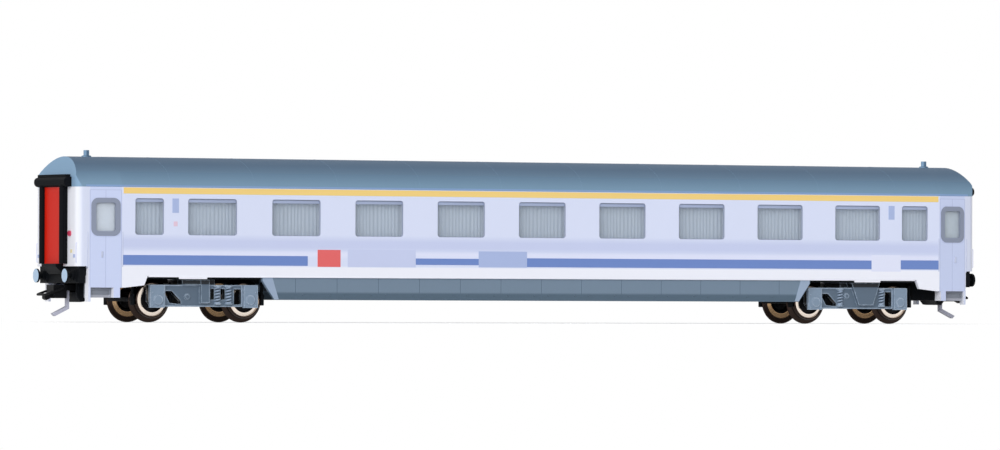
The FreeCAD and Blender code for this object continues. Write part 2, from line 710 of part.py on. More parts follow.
def apron():
    """The grey apron between the bogies: a skirt down each side with slanted ends."""
    half = [(APRON_TOP_X, FLOOR_BOTTOM), (APRON_TOP_X, APRON_SLANT_TOP), (APRON_BOTTOM_X, APRON_BOTTOM)]
    outline = half + [(-x, z) for x, z in reversed(half)]
    top_outside = HALF_WIDTH - WALL - INSERT_FIT
    skirt = side_prism(outline, APRON_OUTSIDE - APRON_THICKNESS, APRON_OUTSIDE)
    low, high = SIDE_BOTTOM - INSERT_FIT, FLOOR_BOTTOM + OVERCUT
    above = block(-END_X, END_X, top_outside, HALF_WIDTH + OVERCUT, low, high)
    return mirrored(skirt.cut(above))


# Underfloor equipment between the aprons: centre x, centre y, length, width, height.
EQUIPMENT = [
    (-48.0, 0.0, 20.0, 13.0, 3.6),
    (-20.0, 4.0, 14.0, 9.0, 4.4),
    (22.0, -1.5, 22.0, 14.0, 4.0),
    (49.0, 0.0, 15.0, 16.0, 3.0),
]
# Air reservoirs: centre x, centre y.
RESERVOIRS = [(-22.0, -6.0), (2.0, 4.5)]


def equipment_boxes():
    """Battery and converter boxes hung under the floor."""
    boxes = []
    for x, y, length, width, height in EQUIPMENT:
        dx, dy = length / 2, width / 2
        boxes.append(block(x - dx, x + dx, y - dy, y + dy, FLOOR_BOTTOM - height, FLOOR_BOTTOM))
    return boxes


def air_reservoirs():
    """Brake air reservoirs, each hung from the floor by two straps."""
    pieces = []
    axis_z = FLOOR_BOTTOM - RESERVOIR_RADIUS - RESERVOIR_DROP
    thick, wide = STRAP_THICKNESS / 2, STRAP_WIDTH / 2
    for x, y in RESERVOIRS:
        tank = rod(V(x - RESERVOIR_LENGTH / 2, y, axis_z), X_AXIS, RESERVOIR_RADIUS, RESERVOIR_LENGTH)
        straps = [
            block(x + dx - thick, x + dx + thick, y - wide, y + wide, axis_z, FLOOR_BOTTOM)
            for dx in (-RESERVOIR_LENGTH / 3, RESERVOIR_LENGTH / 3)
        ]
        pieces.append(joined([tank] + straps))
    return pieces


# ---- inside -----------------------------------------------------------------------------------
def ballast_weight():
    """The steel plate that gives the coach its weight."""
    bottom = FLOOR_BOTTOM + FLOOR_THICKNESS
    half_length, half_width = BALLAST_LENGTH / 2, BALLAST_WIDTH / 2
    return [block(-half_length, half_length, -half_width, half_width, bottom, bottom + BALLAST_THICKNESS)]


LINER_BOTTOM = FLOOR_BOTTOM + FLOOR_THICKNESS + BALLAST_THICKNESS
LINER_TOP = LINER_BOTTOM + LINER_THICKNESS
INSIDE_HALF = HALF_WIDTH - WALL - GLAZING_THICKNESS - INSERT_FIT


def partition_places():
    """x of the partitions between compartments."""
    return [(i - COMPARTMENTS / 2) * COMPARTMENT_PITCH for i in range(COMPARTMENTS + 1)]


def compartments():
    """The inside moulding: floor, partitions, and the corridor wall with a doorway for each compartment."""
    half, thick = VESTIBULE_X, PARTITION_THICKNESS
    low, high = LINER_BOTTOM, PARTITION_TOP
    floor = block(-half, half, -INSIDE_HALF, INSIDE_HALF, LINER_BOTTOM, LINER_TOP)
    walls = [
        block(x - thick / 2, x + thick / 2, -INSIDE_HALF, CORRIDOR_WALL_Y, low, high)
        for x in partition_places()
    ]
    ends = [
        block(end * half, end * (half - thick), -INSIDE_HALF, CORRIDOR_WALL_Y, low, high)
        for end in ENDS
    ]
    corridor = block(-half, half, CORRIDOR_WALL_Y, CORRIDOR_WALL_Y + thick, low, high)
    centres = [x for x, width in main_windows()[:COMPARTMENTS]]
    doorways = [
        block(x - CORRIDOR_DOOR_WIDTH / 2, x + CORRIDOR_DOOR_WIDTH / 2, CORRIDOR_WALL_Y - OVERCUT,
              CORRIDOR_WALL_Y + OVERCUT, LINER_TOP, PARTITION_TOP - DOORWAY_HEAD)
        for x in centres
    ]
    foot = BALLAST_LENGTH / 2 + FOOT_SETBACK
    feet = [
        block(end * foot, end * (foot + FOOT_LENGTH), -FOOT_WIDTH / 2, FOOT_WIDTH / 2,
              FLOOR_BOTTOM + FLOOR_THICKNESS, LINER_BOTTOM)
        for end in ENDS
    ]
    return [joined([floor, cut(corridor, doorways)] + walls + ends + feet)]


def seats():
    """Two facing bench rows in every compartment."""
    rows = []
    reach = COMPARTMENT_PITCH / 2 - PARTITION_THICKNESS / 2
    profile = [
        (reach, 0), (reach - SEAT_DEPTH, 0), (reach - SEAT_DEPTH, SEAT_HEIGHT),
        (reach - SEAT_BACK_THICKNESS, SEAT_HEIGHT), (reach - SEAT_BACK_THICKNESS, SEAT_BACK_HEIGHT),
        (reach, SEAT_BACK_HEIGHT),
    ]
    for x, width in main_windows()[:COMPARTMENTS]:
        for way in ENDS:
            outline = [(x + way * dx, LINER_TOP + dz) for dx, dz in profile]
            rows.append(side_prism(outline, -INSIDE_HALF + SEAT_END_GAP, CORRIDOR_WALL_Y - SEAT_END_GAP))
    return rows


# ---- bogies -----------------------------------------------------------------------------------
def frame_side(y, outline, proud=0.0):
    """A plate at the side frame's place on the +Y or -Y side, over an outline of (x, z) points."""
    depth = SIDE_FRAME_THICKNESS + proud
    return side_prism(outline, y * SIDE_FRAME_INSIDE, y * (SIDE_FRAME_INSIDE + depth))


# The two side frames of a bogie, side -1 and side 1, are given as someone facing them from outside
# sees them: x to the right of the pivot, and the height over the rail top.
SLANTING_OPENING = [(-9.1, 5.7), (-7.2, 5.7), (-5.1, 3.6), (-5.1, 2.9), (-7.7, 3.2)]
UPRIGHT_OPENING = [(7.2, 6.1), (9.1, 6.1), (9.1, 2.9), (7.2, 2.9)]
# Openings in the side frames: side, outline.
FRAME_OPENINGS = [
    (-1, SLANTING_OPENING),
    (-1, UPRIGHT_OPENING),
    (-1, [(1.7, 6.2), (2.6, 6.2), (2.6, 3.9), (1.7, 3.9)]),
    (-1, [(4.1, 6.2), (5.1, 6.2), (5.1, 3.9), (4.1, 3.9)]),
    (1, SLANTING_OPENING),
    (1, UPRIGHT_OPENING),
]
# Raised work on the side frames: side, outline.
BRACKETS = [
    (-1, [(-5.2, 7.0), (-5.2, 8.1), (-0.9, 8.1), (-0.9, 7.0)]),
    (-1, [(-0.8, 3.2), (-0.8, 8.1), (1.2, 8.1), (1.2, 3.2)]),
    (1, [(-1.7, 8.1), (5.5, 8.1), (3.8, 3.2), (0.2, 3.2)]),
]
# Round bosses on the side frames: side, x, height over the rail top.
BOSSES = [(-1, -3.7, 4.5), (1, -2.6, 5.2)]
# Coil springs in front of the side frames: side, x.
SPRINGS = [(-1, 3.35), (-1, 5.9), (1, -4.2), (1, 6.3)]


def seen_from_outside(side, outline):
    """(x, z) points in the bogie for an outline as seen by someone who faces one of its sides."""
    return [(-side * x, RAIL_TOP + height) for x, height in outline]


def side_frame(y):
    """One side frame with its openings, at +Y or -Y, in the bogie's own place at x = 0."""
    end, low, top = BOGIE_HALF_LENGTH, BOGIE_BOTTOM, BOGIE_TOP
    run, rise = FRAME_CHAMFER_RUN, FRAME_CHAMFER_RISE
    half = [(end, top), (end, low + rise), (end - run, low)]
    outline = half + [(-x, z) for x, z in reversed(half)]
    reach = y * (SIDE_FRAME_INSIDE + SIDE_FRAME_THICKNESS + OVERCUT)
    openings = [
        side_prism(seen_from_outside(side, points), 0, reach)
        for side, points in FRAME_OPENINGS
        if side == y
    ]
    return cut(frame_side(y, outline), openings)


def brackets():
    """The brackets and the damper's boss on each side frame."""
    pieces = [
        frame_side(side, seen_from_outside(side, outline), BRACKET_PROUD)
        for side, outline in BRACKETS
    ]
    for side, x, height in BOSSES:
        start = V(-side * x, side * SIDE_FRAME_INSIDE, RAIL_TOP + height)
        pieces.append(rod(start, V(0, side, 0), BOSS_RADIUS, SIDE_FRAME_THICKNESS + BOSS_PROUD))
    return pieces


def journal_bores():
    """Tools for the bearing holes in the side frames."""
    reach = BACK_TO_BACK / 2 + WHEEL_WIDTH
    depth = SIDE_FRAME_INSIDE + JOURNAL_LENGTH
    return [
        rod(V(way * WHEELBASE / 2, side * reach, AXLE_HEIGHT), V(0, side, 0), JOURNAL_RADIUS + RUNNING_FIT,
            depth - reach)
        for way in ENDS
        for side in SIDES
    ]


def bogie_frame():
    """Side frames, bolster, brackets and the pivot pin, in one moulding."""
    inside = SIDE_FRAME_INSIDE
    bolster = block(-BOLSTER_HALF_LENGTH, BOLSTER_HALF_LENGTH, -inside, inside, BOLSTER_BOTTOM, BOLSTER_TOP)
    pin_top = FLOOR_BOTTOM + FLOOR_THICKNESS - INSERT_FIT
    pin = rod(V(0, 0, BOLSTER_TOP), Z_AXIS, PIVOT_PIN_RADIUS, pin_top - BOLSTER_TOP)
    shoulder_top = FLOOR_BOTTOM - PIVOT_SHOULDER_GAP
    shoulder = rod(V(0, 0, BOLSTER_TOP), Z_AXIS, PIVOT_SHOULDER_RADIUS, shoulder_top - BOLSTER_TOP)
    frames = [side_frame(y) for y in SIDES]
    return cut(joined(frames + brackets() + [bolster, pin, shoulder]), journal_bores())


def axle_boxes():
    """The four axle boxes on the outside of the frame, with round covers."""
    pieces = []
    y0 = SIDE_FRAME_INSIDE + SIDE_FRAME_THICKNESS
    for way in ENDS:
        for side in SIDES:
            x = way * WHEELBASE / 2
            middle = x + way * AXLE_BOX_OFFSET
            box = block(middle - AXLE_BOX_WIDTH / 2, middle + AXLE_BOX_WIDTH / 2, side * y0,
                        side * (y0 + AXLE_BOX_PROUD), AXLE_BOX_BOTTOM, AXLE_BOX_TOP)
            cover = rod(V(x, side * (y0 + AXLE_BOX_PROUD), AXLE_HEIGHT), V(0, side, 0), AXLE_COVER_RADIUS,
                        AXLE_COVER_PROUD)
            pieces.append(joined([box, cover]))
    return pieces


def bogie_springs():
    """The coil springs beside the brackets, half sunk into recesses on the frame's outside."""
    face = SIDE_FRAME_INSIDE + SIDE_FRAME_THICKNESS
    inside = block(-BOGIE_HALF_LENGTH, BOGIE_HALF_LENGTH, -face, face, BOGIE_BOTTOM, BOGIE_TOP)
    height = SPRING_TOP - SPRING_SEAT
    return [
        rod(V(-side * x, side * face, SPRING_SEAT), Z_AXIS, SPRING_RADIUS, height).cut(inside)
        for side, x in SPRINGS
    ]


def tyre(side):
    """Tread, flange and dished rim of one wheel as a ring, with its axle at x = 0 and z = 0."""
    back = BACK_TO_BACK / 2
    outwards = V(0, side, 0)
    bore = TREAD_RADIUS - RIM_DEPTH
    flange = rod(V(0, side * back, 0), outwards, TREAD_RADIUS + FLANGE_DEPTH, FLANGE_WIDTH)
    tread = rod(V(0, side * back, 0), outwards, TREAD_RADIUS, WHEEL_WIDTH)
    hollow_start = V(0, side * (back - OVERCUT), 0)
    hollow = rod(hollow_start, outwards, bore, WHEEL_WIDTH + 2 * OVERCUT)
    dish_start = V(0, side * (back + WHEEL_WIDTH - DISH_DEPTH), 0)
    dish = Part.makeCone(bore, TREAD_RADIUS - RIM_FACE_DEPTH, DISH_DEPTH, dish_start, outwards)
    return cut(flange.fuse(tread), [hollow, dish]).removeSplitter()


def axle_and_centres():
    """The axle with both wheel centres, in one piece, at x = 0 and z = 0."""
    reach = BACK_TO_BACK / 2 + WHEEL_WIDTH
    axle = rod(V(0, -reach, 0), Y_AXIS, AXLE_RADIUS, 2 * reach)
    journal_reach = SIDE_FRAME_INSIDE + JOURNAL_LENGTH - JOURNAL_END_GAP
    journals = rod(V(0, -journal_reach, 0), Y_AXIS, JOURNAL_RADIUS, 2 * journal_reach)
    pieces = [axle, journals]
    middle = BACK_TO_BACK / 2 + WHEEL_WIDTH / 2
    for side in SIDES:
        disc_start = V(0, side * (middle - DISC_THICKNESS / 2), 0)
        pieces.append(rod(disc_start, V(0, side, 0), TREAD_RADIUS - RIM_DEPTH, DISC_THICKNESS))
        hub_start = V(0, side * (middle - WHEEL_WIDTH / 2), 0)
        pieces.append(rod(hub_start, V(0, side, 0), HUB_RADIUS, WHEEL_WIDTH))
    return joined(pieces)


# ---- couplings --------------------------------------------------------------------------------
def drawbar():
    """The drawbar of the +X coupling, from its pivot eye to the back of the head."""
    low = DRAWBAR_TOP - DRAWBAR_THICKNESS
    eye = rod(V(COUPLING_PIVOT_X, 0, low), Z_AXIS, COUPLING_EYE_RADIUS, DRAWBAR_THICKNESS)
    bar = block(COUPLING_PIVOT_X, DRAWBAR_END_X, -DRAWBAR_WIDTH / 2, DRAWBAR_WIDTH / 2, low, DRAWBAR_TOP)
    bore = rod(V(COUPLING_PIVOT_X, 0, low - OVERCUT), Z_AXIS, COUPLING_PIN_RADIUS + RUNNING_FIT,
               DRAWBAR_THICKNESS + 2 * OVERCUT)
    return joined([eye, bar]).cut(bore)


# The hook in front of the coupling head: its outline's (x, height over the rail top) points.
HOOK = [
    (109.5, 4.1), (110.2, 4.1), (111.0, 3.7), (111.5, 4.0),
    (111.5, 4.9), (111.0, 4.9), (110.0, 5.7), (109.5, 5.7),
]


def coupling_head():
    """The +X coupling head: a block with a hook that slopes down in front of it."""
    half, hook_half = COUPLING_HEAD_WIDTH / 2, COUPLING_HOOK_WIDTH / 2
    body = block(DRAWBAR_END_X, COUPLING_HEAD_END_X, -half, half, COUPLING_HEAD_BOTTOM, COUPLING_HEAD_TOP)
    hook = side_prism([(x, RAIL_TOP + height) for x, height in HOOK], -hook_half, hook_half)
    return joined([body, hook])


def coupling_loop():
    """The +X coupling's loop: two arms that slope down to the front bar, on stub pins beside the head."""
    half = LOOP_WIDTH / 2
    rear, front, bar = LOOP_REAR_HEIGHT, LOOP_FRONT_HEIGHT, LOOP_BAR
    outline = [
        (LOOP_PIVOT_X - bar, rear - bar / 2), (COUPLING_TIP_X, front), (COUPLING_TIP_X, front + bar),
        (LOOP_PIVOT_X - bar, rear + bar / 2),
    ]
    crossbar = [point for point in outline if point[0] == COUPLING_TIP_X]
    crossbar += [(COUPLING_TIP_X - bar, z) for x, z in reversed(crossbar)]
    pieces = [side_prism(crossbar, -half, half)]
    for side in SIDES:
        pieces.append(side_prism(outline, side * (half - bar), side * half))
        start = V(LOOP_PIVOT_X, side * COUPLING_HEAD_WIDTH / 2, rear)
        pieces.append(rod(start, V(0, side, 0), bar / 2, half - COUPLING_HEAD_WIDTH / 2))
    return joined(pieces)


def trip_arm():
    """The trip arm of the +X coupling: down from the drawbar's end, then outwards to its foot."""
    t = TRIP_ARM_THICKNESS
    top = DRAWBAR_TOP - DRAWBAR_THICKNESS
    outline = [
        (TRIP_ARM_X, top),
        (TRIP_ARM_X, TRIP_ARM_KNEE),
        (TRIP_ARM_FOOT_X - t, TRIP_ARM_FOOT),
        (TRIP_ARM_FOOT_X, TRIP_ARM_FOOT + t),
        (TRIP_ARM_KNEE_X, TRIP_ARM_KNEE + t),
        (TRIP_ARM_KNEE_X, top),
    ]
    return side_prism(outline, -TRIP_ARM_WIDTH / 2, TRIP_ARM_WIDTH / 2)


# ---- all nodes --------------------------------------------------------------------------------
def build_coach():
    """The coach body and all that is fixed to it."""
    save("body_shell", [body_shell()])
    save("skirt_corners", skirt_corners())
    save("roof", [roof()])
    save("roof_aerials", roof_aerials())
    save("window_glazing", window_glazing())
    save("door_window_frames", door_window_frames())
    save("door_window_panes", door_window_panes())
    save("gangway_bellows", gangway_bellows())
    save("gangway_doors", gangway_doors())
    save("tail_lamps", tail_lamps())
    save("headstocks", headstocks())
    save("gangway_footplates", gangway_footplates())
    save("buffer_casings", buffer_casings())
    save("buffer_plates", buffer_plates())
    save("entrance_steps", entrance_steps())
    save("floor_plate", floor_plate())
    save("centre_sills", centre_sills())
    save("coupling_guides", coupling_guides())
    save("apron", apron())
    save("equipment_boxes", equipment_boxes())
    save("air_reservoirs", air_reservoirs())
    save("ballast_weight", ballast_weight())
    save("compartments", compartments())
    save("seats", seats())


def build_bogies():
    """Both bogies and their four wheelsets."""
    for letter, end, turn in (("a", -1, 0), ("b", 1, 180)):
        x = end * PIVOT_X
        save("bogie_" + letter + "_frame", [placed(bogie_frame(), x, turn=turn)])
        save("bogie_" + letter + "_axle_boxes", [placed(box, x, turn=turn) for box in axle_boxes()])
        save("bogie_" + letter + "_springs", [placed(coil, x, turn=turn) for coil in bogie_springs()])
        for number, way in zip("12", ENDS):
            name = "wheelset_" + letter + number
            place = V(x + way * WHEELBASE / 2, 0, AXLE_HEIGHT)
            save(name + "_axle", [axle_and_centres().translated(place)])
            save(name + "_tyres", [tyre(side).translated(place) for side in SIDES])


def build_couplings():
    """The coupling at each end."""
    for letter, turn in (("a", 180), ("b", 0)):
        save("coupling_" + letter + "_drawbar", [placed(drawbar(), turn=turn)])
        save("coupling_" + letter + "_head", [placed(coupling_head(), turn=turn)])
        save("coupling_" + letter + "_loop", [placed(coupling_loop(), turn=turn)])
        save("coupling_" + letter + "_trip_arm", [placed(trip_arm(), turn=turn)])


os.makedirs("parts", exist_ok=True)
build_coach()
build_bogies()
build_couplings()
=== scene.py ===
"""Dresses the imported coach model: printed stripes, seams, curtains, turned wheels, springs and finishes.

Lengths in this file are millimetres until they reach a mesh, which is in metres.
"""
import math

import bmesh
import bpy
import numpy as np
from mathutils import Matrix


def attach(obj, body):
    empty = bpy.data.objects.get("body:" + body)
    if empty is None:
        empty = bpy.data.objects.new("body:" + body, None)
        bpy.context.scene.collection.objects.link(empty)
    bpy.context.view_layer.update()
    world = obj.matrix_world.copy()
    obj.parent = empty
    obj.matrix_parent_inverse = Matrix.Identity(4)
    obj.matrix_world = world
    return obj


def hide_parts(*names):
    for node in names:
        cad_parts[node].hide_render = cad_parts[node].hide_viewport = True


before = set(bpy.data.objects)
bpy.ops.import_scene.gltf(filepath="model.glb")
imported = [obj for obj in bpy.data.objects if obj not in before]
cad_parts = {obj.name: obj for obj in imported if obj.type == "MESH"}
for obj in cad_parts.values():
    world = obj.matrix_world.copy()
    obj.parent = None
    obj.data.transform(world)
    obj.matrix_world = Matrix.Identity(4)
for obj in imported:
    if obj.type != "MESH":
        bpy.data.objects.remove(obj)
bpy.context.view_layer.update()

MM = 0.001
RAIL = 0.9          # rail top over the floor
SIDES = (-1, 1)
ENDS = (-1, 1)
CORNERS = [(end, side) for end in ENDS for side in SIDES]
LETTERED_ENDS = (("a", -1), ("b", 1))

# The coach's plan: straight sides and tapered end zones.
HALF, END_HALF, TAPER, END = 11.77, 10.60, 98.90, 108.60
EAVES, CROWN = RAIL + 27.30, RAIL + 33.75
PIVOT, WHEELBASE, AXLE = 79.17, 21.33, RAIL + 3.83
WHEEL_BACK = 5.1            # back of a wheel from the middle of its axle
WINDOW_PITCH = 19.52
WINDOW_ROW = [(x * WINDOW_PITCH, 11.35) for x in range(-4, 5)] + [(-92.6, 6.6), (92.6, 6.6)]
SILL, HEAD = RAIL + 17.35, RAIL + 25.0
DOOR = 102.45               # middle of an entrance door
GLASS = HALF - 0.35         # outer face of the window panes
FRAME_FACE = 9.40           # outer face of a bogie's side frame
FLOOR = RAIL + 9.40         # underside of the floor
APRON_FACE = HALF - 0.37    # outer face of the apron

COAT = {}           # finishes by name


# ---- shapes -------------------------------------------------------------------------------------
def mesh_of(name, points, faces, smooth=True):
    """An object at the origin from points in millimetres and faces as tuples or arrays of indices."""
    mesh = bpy.data.meshes.new(name)
    faces = [tuple(int(i) for i in face) for face in faces]
    mesh.from_pydata((np.asarray(points, dtype=float) * MM).tolist(), [], faces)
    shape = bmesh.new()
    shape.from_mesh(mesh)
    bmesh.ops.recalc_face_normals(shape, faces=shape.faces)
    shape.to_mesh(mesh)
    shape.free()
    if smooth:
        mesh.shade_smooth()
        mesh.set_sharp_from_angle(angle=math.radians(38))
    thing = bpy.data.objects.new(name, mesh)
    bpy.context.collection.objects.link(thing)
    return thing


def quads(rows, columns, wrap_rows=False, wrap_columns=False):
    """Index quads of a rows x columns grid of points, closed round either way if asked."""
    i = np.arange(rows if wrap_rows else rows - 1)
    j = np.arange(columns if wrap_columns else columns - 1)
    a, b = np.meshgrid(i, j, indexing="ij")
    c, d = (a + 1) % rows, (b + 1) % columns
    corners = [a * columns + b, a * columns + d, c * columns + d, c * columns + b]
    return np.stack(corners, -1).reshape(-1, 4)


def unit(v):
    """Vectors of length one."""
    return v / np.linalg.norm(v, axis=-1, keepdims=True)


def carried(path, section, up, loop=False):
    """Points and faces of a closed section carried along a path.

    Each point is the path's point plus the section's two coordinates along the sideways and upward
    directions there: sideways is the unit cross product of up and the path's direction. The ends are
    closed by one face each unless the path is a loop.
    """
    path, section, up = np.asarray(path, float), np.asarray(section, float), np.asarray(up, float)
    n, m = len(path), len(section)
    if loop:
        along = unit(np.roll(path, -1, 0) - np.roll(path, 1, 0))
    else:
        along = unit(np.gradient(path, axis=0))
    side = unit(np.cross(np.broadcast_to(up, path.shape), along))
    rise = np.cross(along, side)
    points = path[:, None] + section[None, :, :1] * side[:, None] + section[None, :, 1:] * rise[:, None]
    faces = [tuple(f) for f in quads(n, m, loop, True)[:, ::-1]]
    if not loop:
        faces += [tuple(range(m)), tuple(range(n * m - 1, (n - 1) * m - 1, -1))]
    return points.reshape(-1, 3), faces


def turned(profile, centre, axis, count=48, ring=False):
    """Points and faces of a profile of (distance along the axis, radius) turned round the axis.

    Each point is the centre plus the distance along the axis plus the radius times the cosine and sine of
    the angle along two directions square to it. Both ends are closed by a face, or for a ring the profile
    closes on itself.
    """
    axis = unit(np.asarray(axis, float))
    one = unit(np.cross(axis, (0.0, 0.0, 1.0) if abs(axis[2]) < 0.9 else (1.0, 0.0, 0.0)))
    two = np.cross(axis, one)
    profile = np.asarray(profile, float)
    angle = np.arange(count) * 2 * math.pi / count
    spokes = np.cos(angle)[:, None] * one + np.sin(angle)[:, None] * two
    points = np.asarray(centre, float) + profile[:, None, :1] * axis + profile[:, None, 1:] * spokes[None]
    n = len(profile)
    points = points.reshape(-1, 3)
    faces = [tuple(f) for f in quads(n, count, ring, True)]
    if not ring:
        faces += [tuple(range(row * count, row * count + count)) for row in (0, n - 1)]
    return points, faces


def eased_block(x0, x1, y0, y1, z0, z1, ease=0.12):
    """Points and faces of a block with eased edges.

    A rounded outline in Y and Z is carried along X; near both ends it is drawn in by as much as it has
    left to go, so that the end edges are round too.
    """
    (x0, x1), (y0, y1), (z0, z1) = sorted((x0, x1)), sorted((y0, y1)), sorted((z0, z1))
    ease = min(ease, 0.4 * (x1 - x0), 0.4 * (y1 - y0), 0.4 * (z1 - z0))
    rows = [(x0, ease), (x0 + 0.3 * ease, 0.3 * ease), (x0 + ease, 0.0),
            (x1 - ease, 0.0), (x1 - 0.3 * ease, 0.3 * ease), (x1, ease)]
    loops = []
    for x, shrink in rows:
        loop = rounded_loop(y1 - y0 - 2 * shrink, z1 - z0 - 2 * shrink, max(ease - shrink, 0.02 * ease), 3)
        loops.append(np.c_[np.full(len(loop), x), loop[:, 0] + (y0 + y1) / 2, loop[:, 1] + (z0 + z1) / 2])
    m = len(loops[0])
    faces = [tuple(f) for f in quads(len(rows), m, False, True)]
    faces += [tuple(range(m)), tuple(range((len(rows) - 1) * m, len(rows) * m))]
    return np.concatenate(loops), faces


def between(front, back):
    """Points and faces of a slab between two grids of points of one size, closed round their border."""
    n, m = front.shape[:2]
    index = np.arange(n * m).reshape(n, m)
    rim = np.concatenate([index[0, :-1], index[:-1, -1], index[-1, :0:-1], index[:0:-1, 0]])
    following = np.roll(rim, -1)
    walls = np.stack([following, rim, rim + n * m, following + n * m], -1)
    grid = quads(n, m)
    faces = [tuple(f) for f in np.concatenate([grid, grid[:, ::-1] + n * m, walls])]
    return np.concatenate([front.reshape(-1, 3), back.reshape(-1, 3)]), faces


def slab(outline, y0, y1, ease=0.06):
    """Points and faces of a flat plate over an outline of (x, z), from y0 to y1, with eased rims.

    The outline is repeated at four depths, and at the first and the last it is drawn in by the ease toward
    its middle.
    """
    outline = np.asarray(outline, float)
    inward = unit(outline.mean(0) - outline) * ease
    step = math.copysign(min(ease, 0.4 * abs(y1 - y0)), y1 - y0)
    rows = [(y0, 1.0), (y0 + step, 0.0), (y1 - step, 0.0), (y1, 1.0)]
    m = len(outline)
    loops = [np.insert(outline + share * inward, 1, y, axis=1) for y, share in rows]
    faces = [tuple(f) for f in quads(4, m, False, True)]
    return np.concatenate(loops), faces + [tuple(range(m)), tuple(range(3 * m, 4 * m))]


def bent(points, radius, per_corner=5):
    """A path through corner points, each rounded by a curve that leaves its two runs one radius away.

    Round a corner the path is (1-t)^2 of the point before, 2t(1-t) of the corner and t^2 of the point after.
    """
    points = [np.asarray(p, float) for p in points]
    path = [points[0][None]]
    t = np.linspace(0, 1, per_corner)[:, None]
    for before, corner, after in zip(points, points[1:], points[2:]):
        near = corner + unit(before - corner) * min(radius, 0.45 * np.linalg.norm(before - corner))
        far = corner + unit(after - corner) * min(radius, 0.45 * np.linalg.norm(after - corner))
        path.append((1 - t) ** 2 * near + 2 * t * (1 - t) * corner + t ** 2 * far)
    return np.concatenate(path + [points[-1][None]])


def wire(points, radius, up, bend=0.4, count=10):
    """Points and faces of a round bar along a path with rounded corners."""
    return carried(bent(points, bend), circle(radius, count), up)


def coil(centre, radius, bar, z0, z1, turns, count=14, dead=0.75):
    """Points and faces of a coil spring: a round bar on a helix, its end turns closed up flat.

    The bar's middle is the centre plus the radius times the cosine and sine of the angle; its height rises
    with the angle, and stays level over the first and last part of a turn.
    """
    angle = np.linspace(0, 2 * math.pi * turns, int(turns * count) + 1)
    rise = np.clip((angle / (2 * math.pi) - dead) / (turns - 2 * dead), 0, 1)
    z = z0 + bar + (z1 - z0 - 2 * bar) * rise
    path = np.stack([centre[0] + radius * np.cos(angle), centre[1] + radius * np.sin(angle), z], -1)
    return carried(path, circle(bar, 8), (0, 0, 1))


def arc_through(a, b, c, count):
    """Points evenly along the circle through a, b and c, from a to c, in the plane."""
    a, b, c = (np.asarray(p, float) for p in (a, b, c))
    rows = np.array([b - a, c - a]) * 2
    centre = np.linalg.solve(rows, [b @ b - a @ a, c @ c - a @ a])
    radius = np.linalg.norm(a - centre)
    first, middle, last = (math.atan2(*(p - centre)[::-1]) for p in (a, b, c))
    full = 2 * math.pi
    if (middle - first) % full < (last - first) % full:
        angles = first + np.linspace(0, (last - first) % full, count)
    else:
        angles = first - np.linspace(0, (first - last) % full, count)
    return centre + radius * np.stack([np.cos(angles), np.sin(angles)], -1)


def studs(places, toward, radius, height, count=10):
    """Points and faces of round domed heads at places, standing out toward one direction."""
    profile = [(-0.05, radius), (0.35 * height, radius), (0.75 * height, 0.8 * radius),
               (height, 0.4 * radius)]
    return gathered([turned(profile, place, toward, count) for place in places])


def gathered(parts):
    """One set of points and faces from several."""
    points, faces, start = [], [], 0
    for p, f in parts:
        points.append(np.asarray(p))
        faces += [tuple(int(i) + start for i in face) for face in f]
        start += len(p)
    return np.concatenate(points), faces


def circle(radius, count=10):
    """Points evenly round a circle about (0, 0)."""
    angle = np.arange(count) * 2 * math.pi / count
    return np.stack([radius * np.cos(angle), radius * np.sin(angle)], -1)


def rounded_loop(width, height, corner, per_corner=6):
    """Points of a rectangle with round corners about (0, 0), corner arcs sampled evenly."""
    angle = np.linspace(0, math.pi / 2, per_corner)
    out = []
    for k, (sx, sy) in enumerate(((1, 1), (-1, 1), (-1, -1), (1, -1))):
        a = angle + k * math.pi / 2
        cx, cy = sx * (width / 2 - corner), sy * (height / 2 - corner)
        out.append(np.stack([cx + corner * np.cos(a), cy + corner * np.sin(a)], -1))
    return np.concatenate(out)


def side_y(x, out=0.0):
    """Half width of the coach's plan at x, with out added: straight, then a straight taper to the ends."""
    x = np.abs(np.asarray(x, float))
    lean = np.clip((x - TAPER) / (END - TAPER), 0, 1)
    return HALF + (END_HALF - HALF) * lean + out


def on_side(x, side, out):
    """A point's y on the side at x, with out added."""
    return side * side_y(x, out)


def along_side(x0, x1, z, side, out=0.0, step=2.0):
    """A path on the coach's side from x0 to x1 at height z, its points even apart with one at each bend."""
    xs = np.linspace(x0, x1, max(2, int(abs(x1 - x0) / step) + 1))
    bends = [b for b in (-TAPER, TAPER) if min(x0, x1) < b < max(x0, x1)]
    xs = np.unique(np.concatenate([xs, bends]))
    if x1 < x0:
        xs = xs[::-1]
    return np.stack([xs, side * side_y(xs, out), np.full(len(xs), z)], -1)


def upright(x, z0, z1, side, width, proud=0.03, sunk=0.1):
    """A narrow vertical strip on the side, standing proud of it."""
    path = np.stack([np.full(2, x), np.full(2, side * side_y(x)), np.array([z0, z1])], -1)
    w = width / 2
    section = np.array([(-w, -sunk), (w, -sunk), (w, proud), (-w, proud)])
    return carried(path, section, (0, side, 0))


def strip(x0, x1, z0, z1, side, proud=0.03):
    """A printed strip on the side: a thin section standing z1 - z0 high, carried along the side."""
    path = along_side(x0, x1, (z0 + z1) / 2, side)
    w, t = (z1 - z0) / 2, proud
    section = np.array([(-w, -0.1), (w, -0.1), (w, t), (-w, t)])
    return carried(path, section, (0, side, 0))


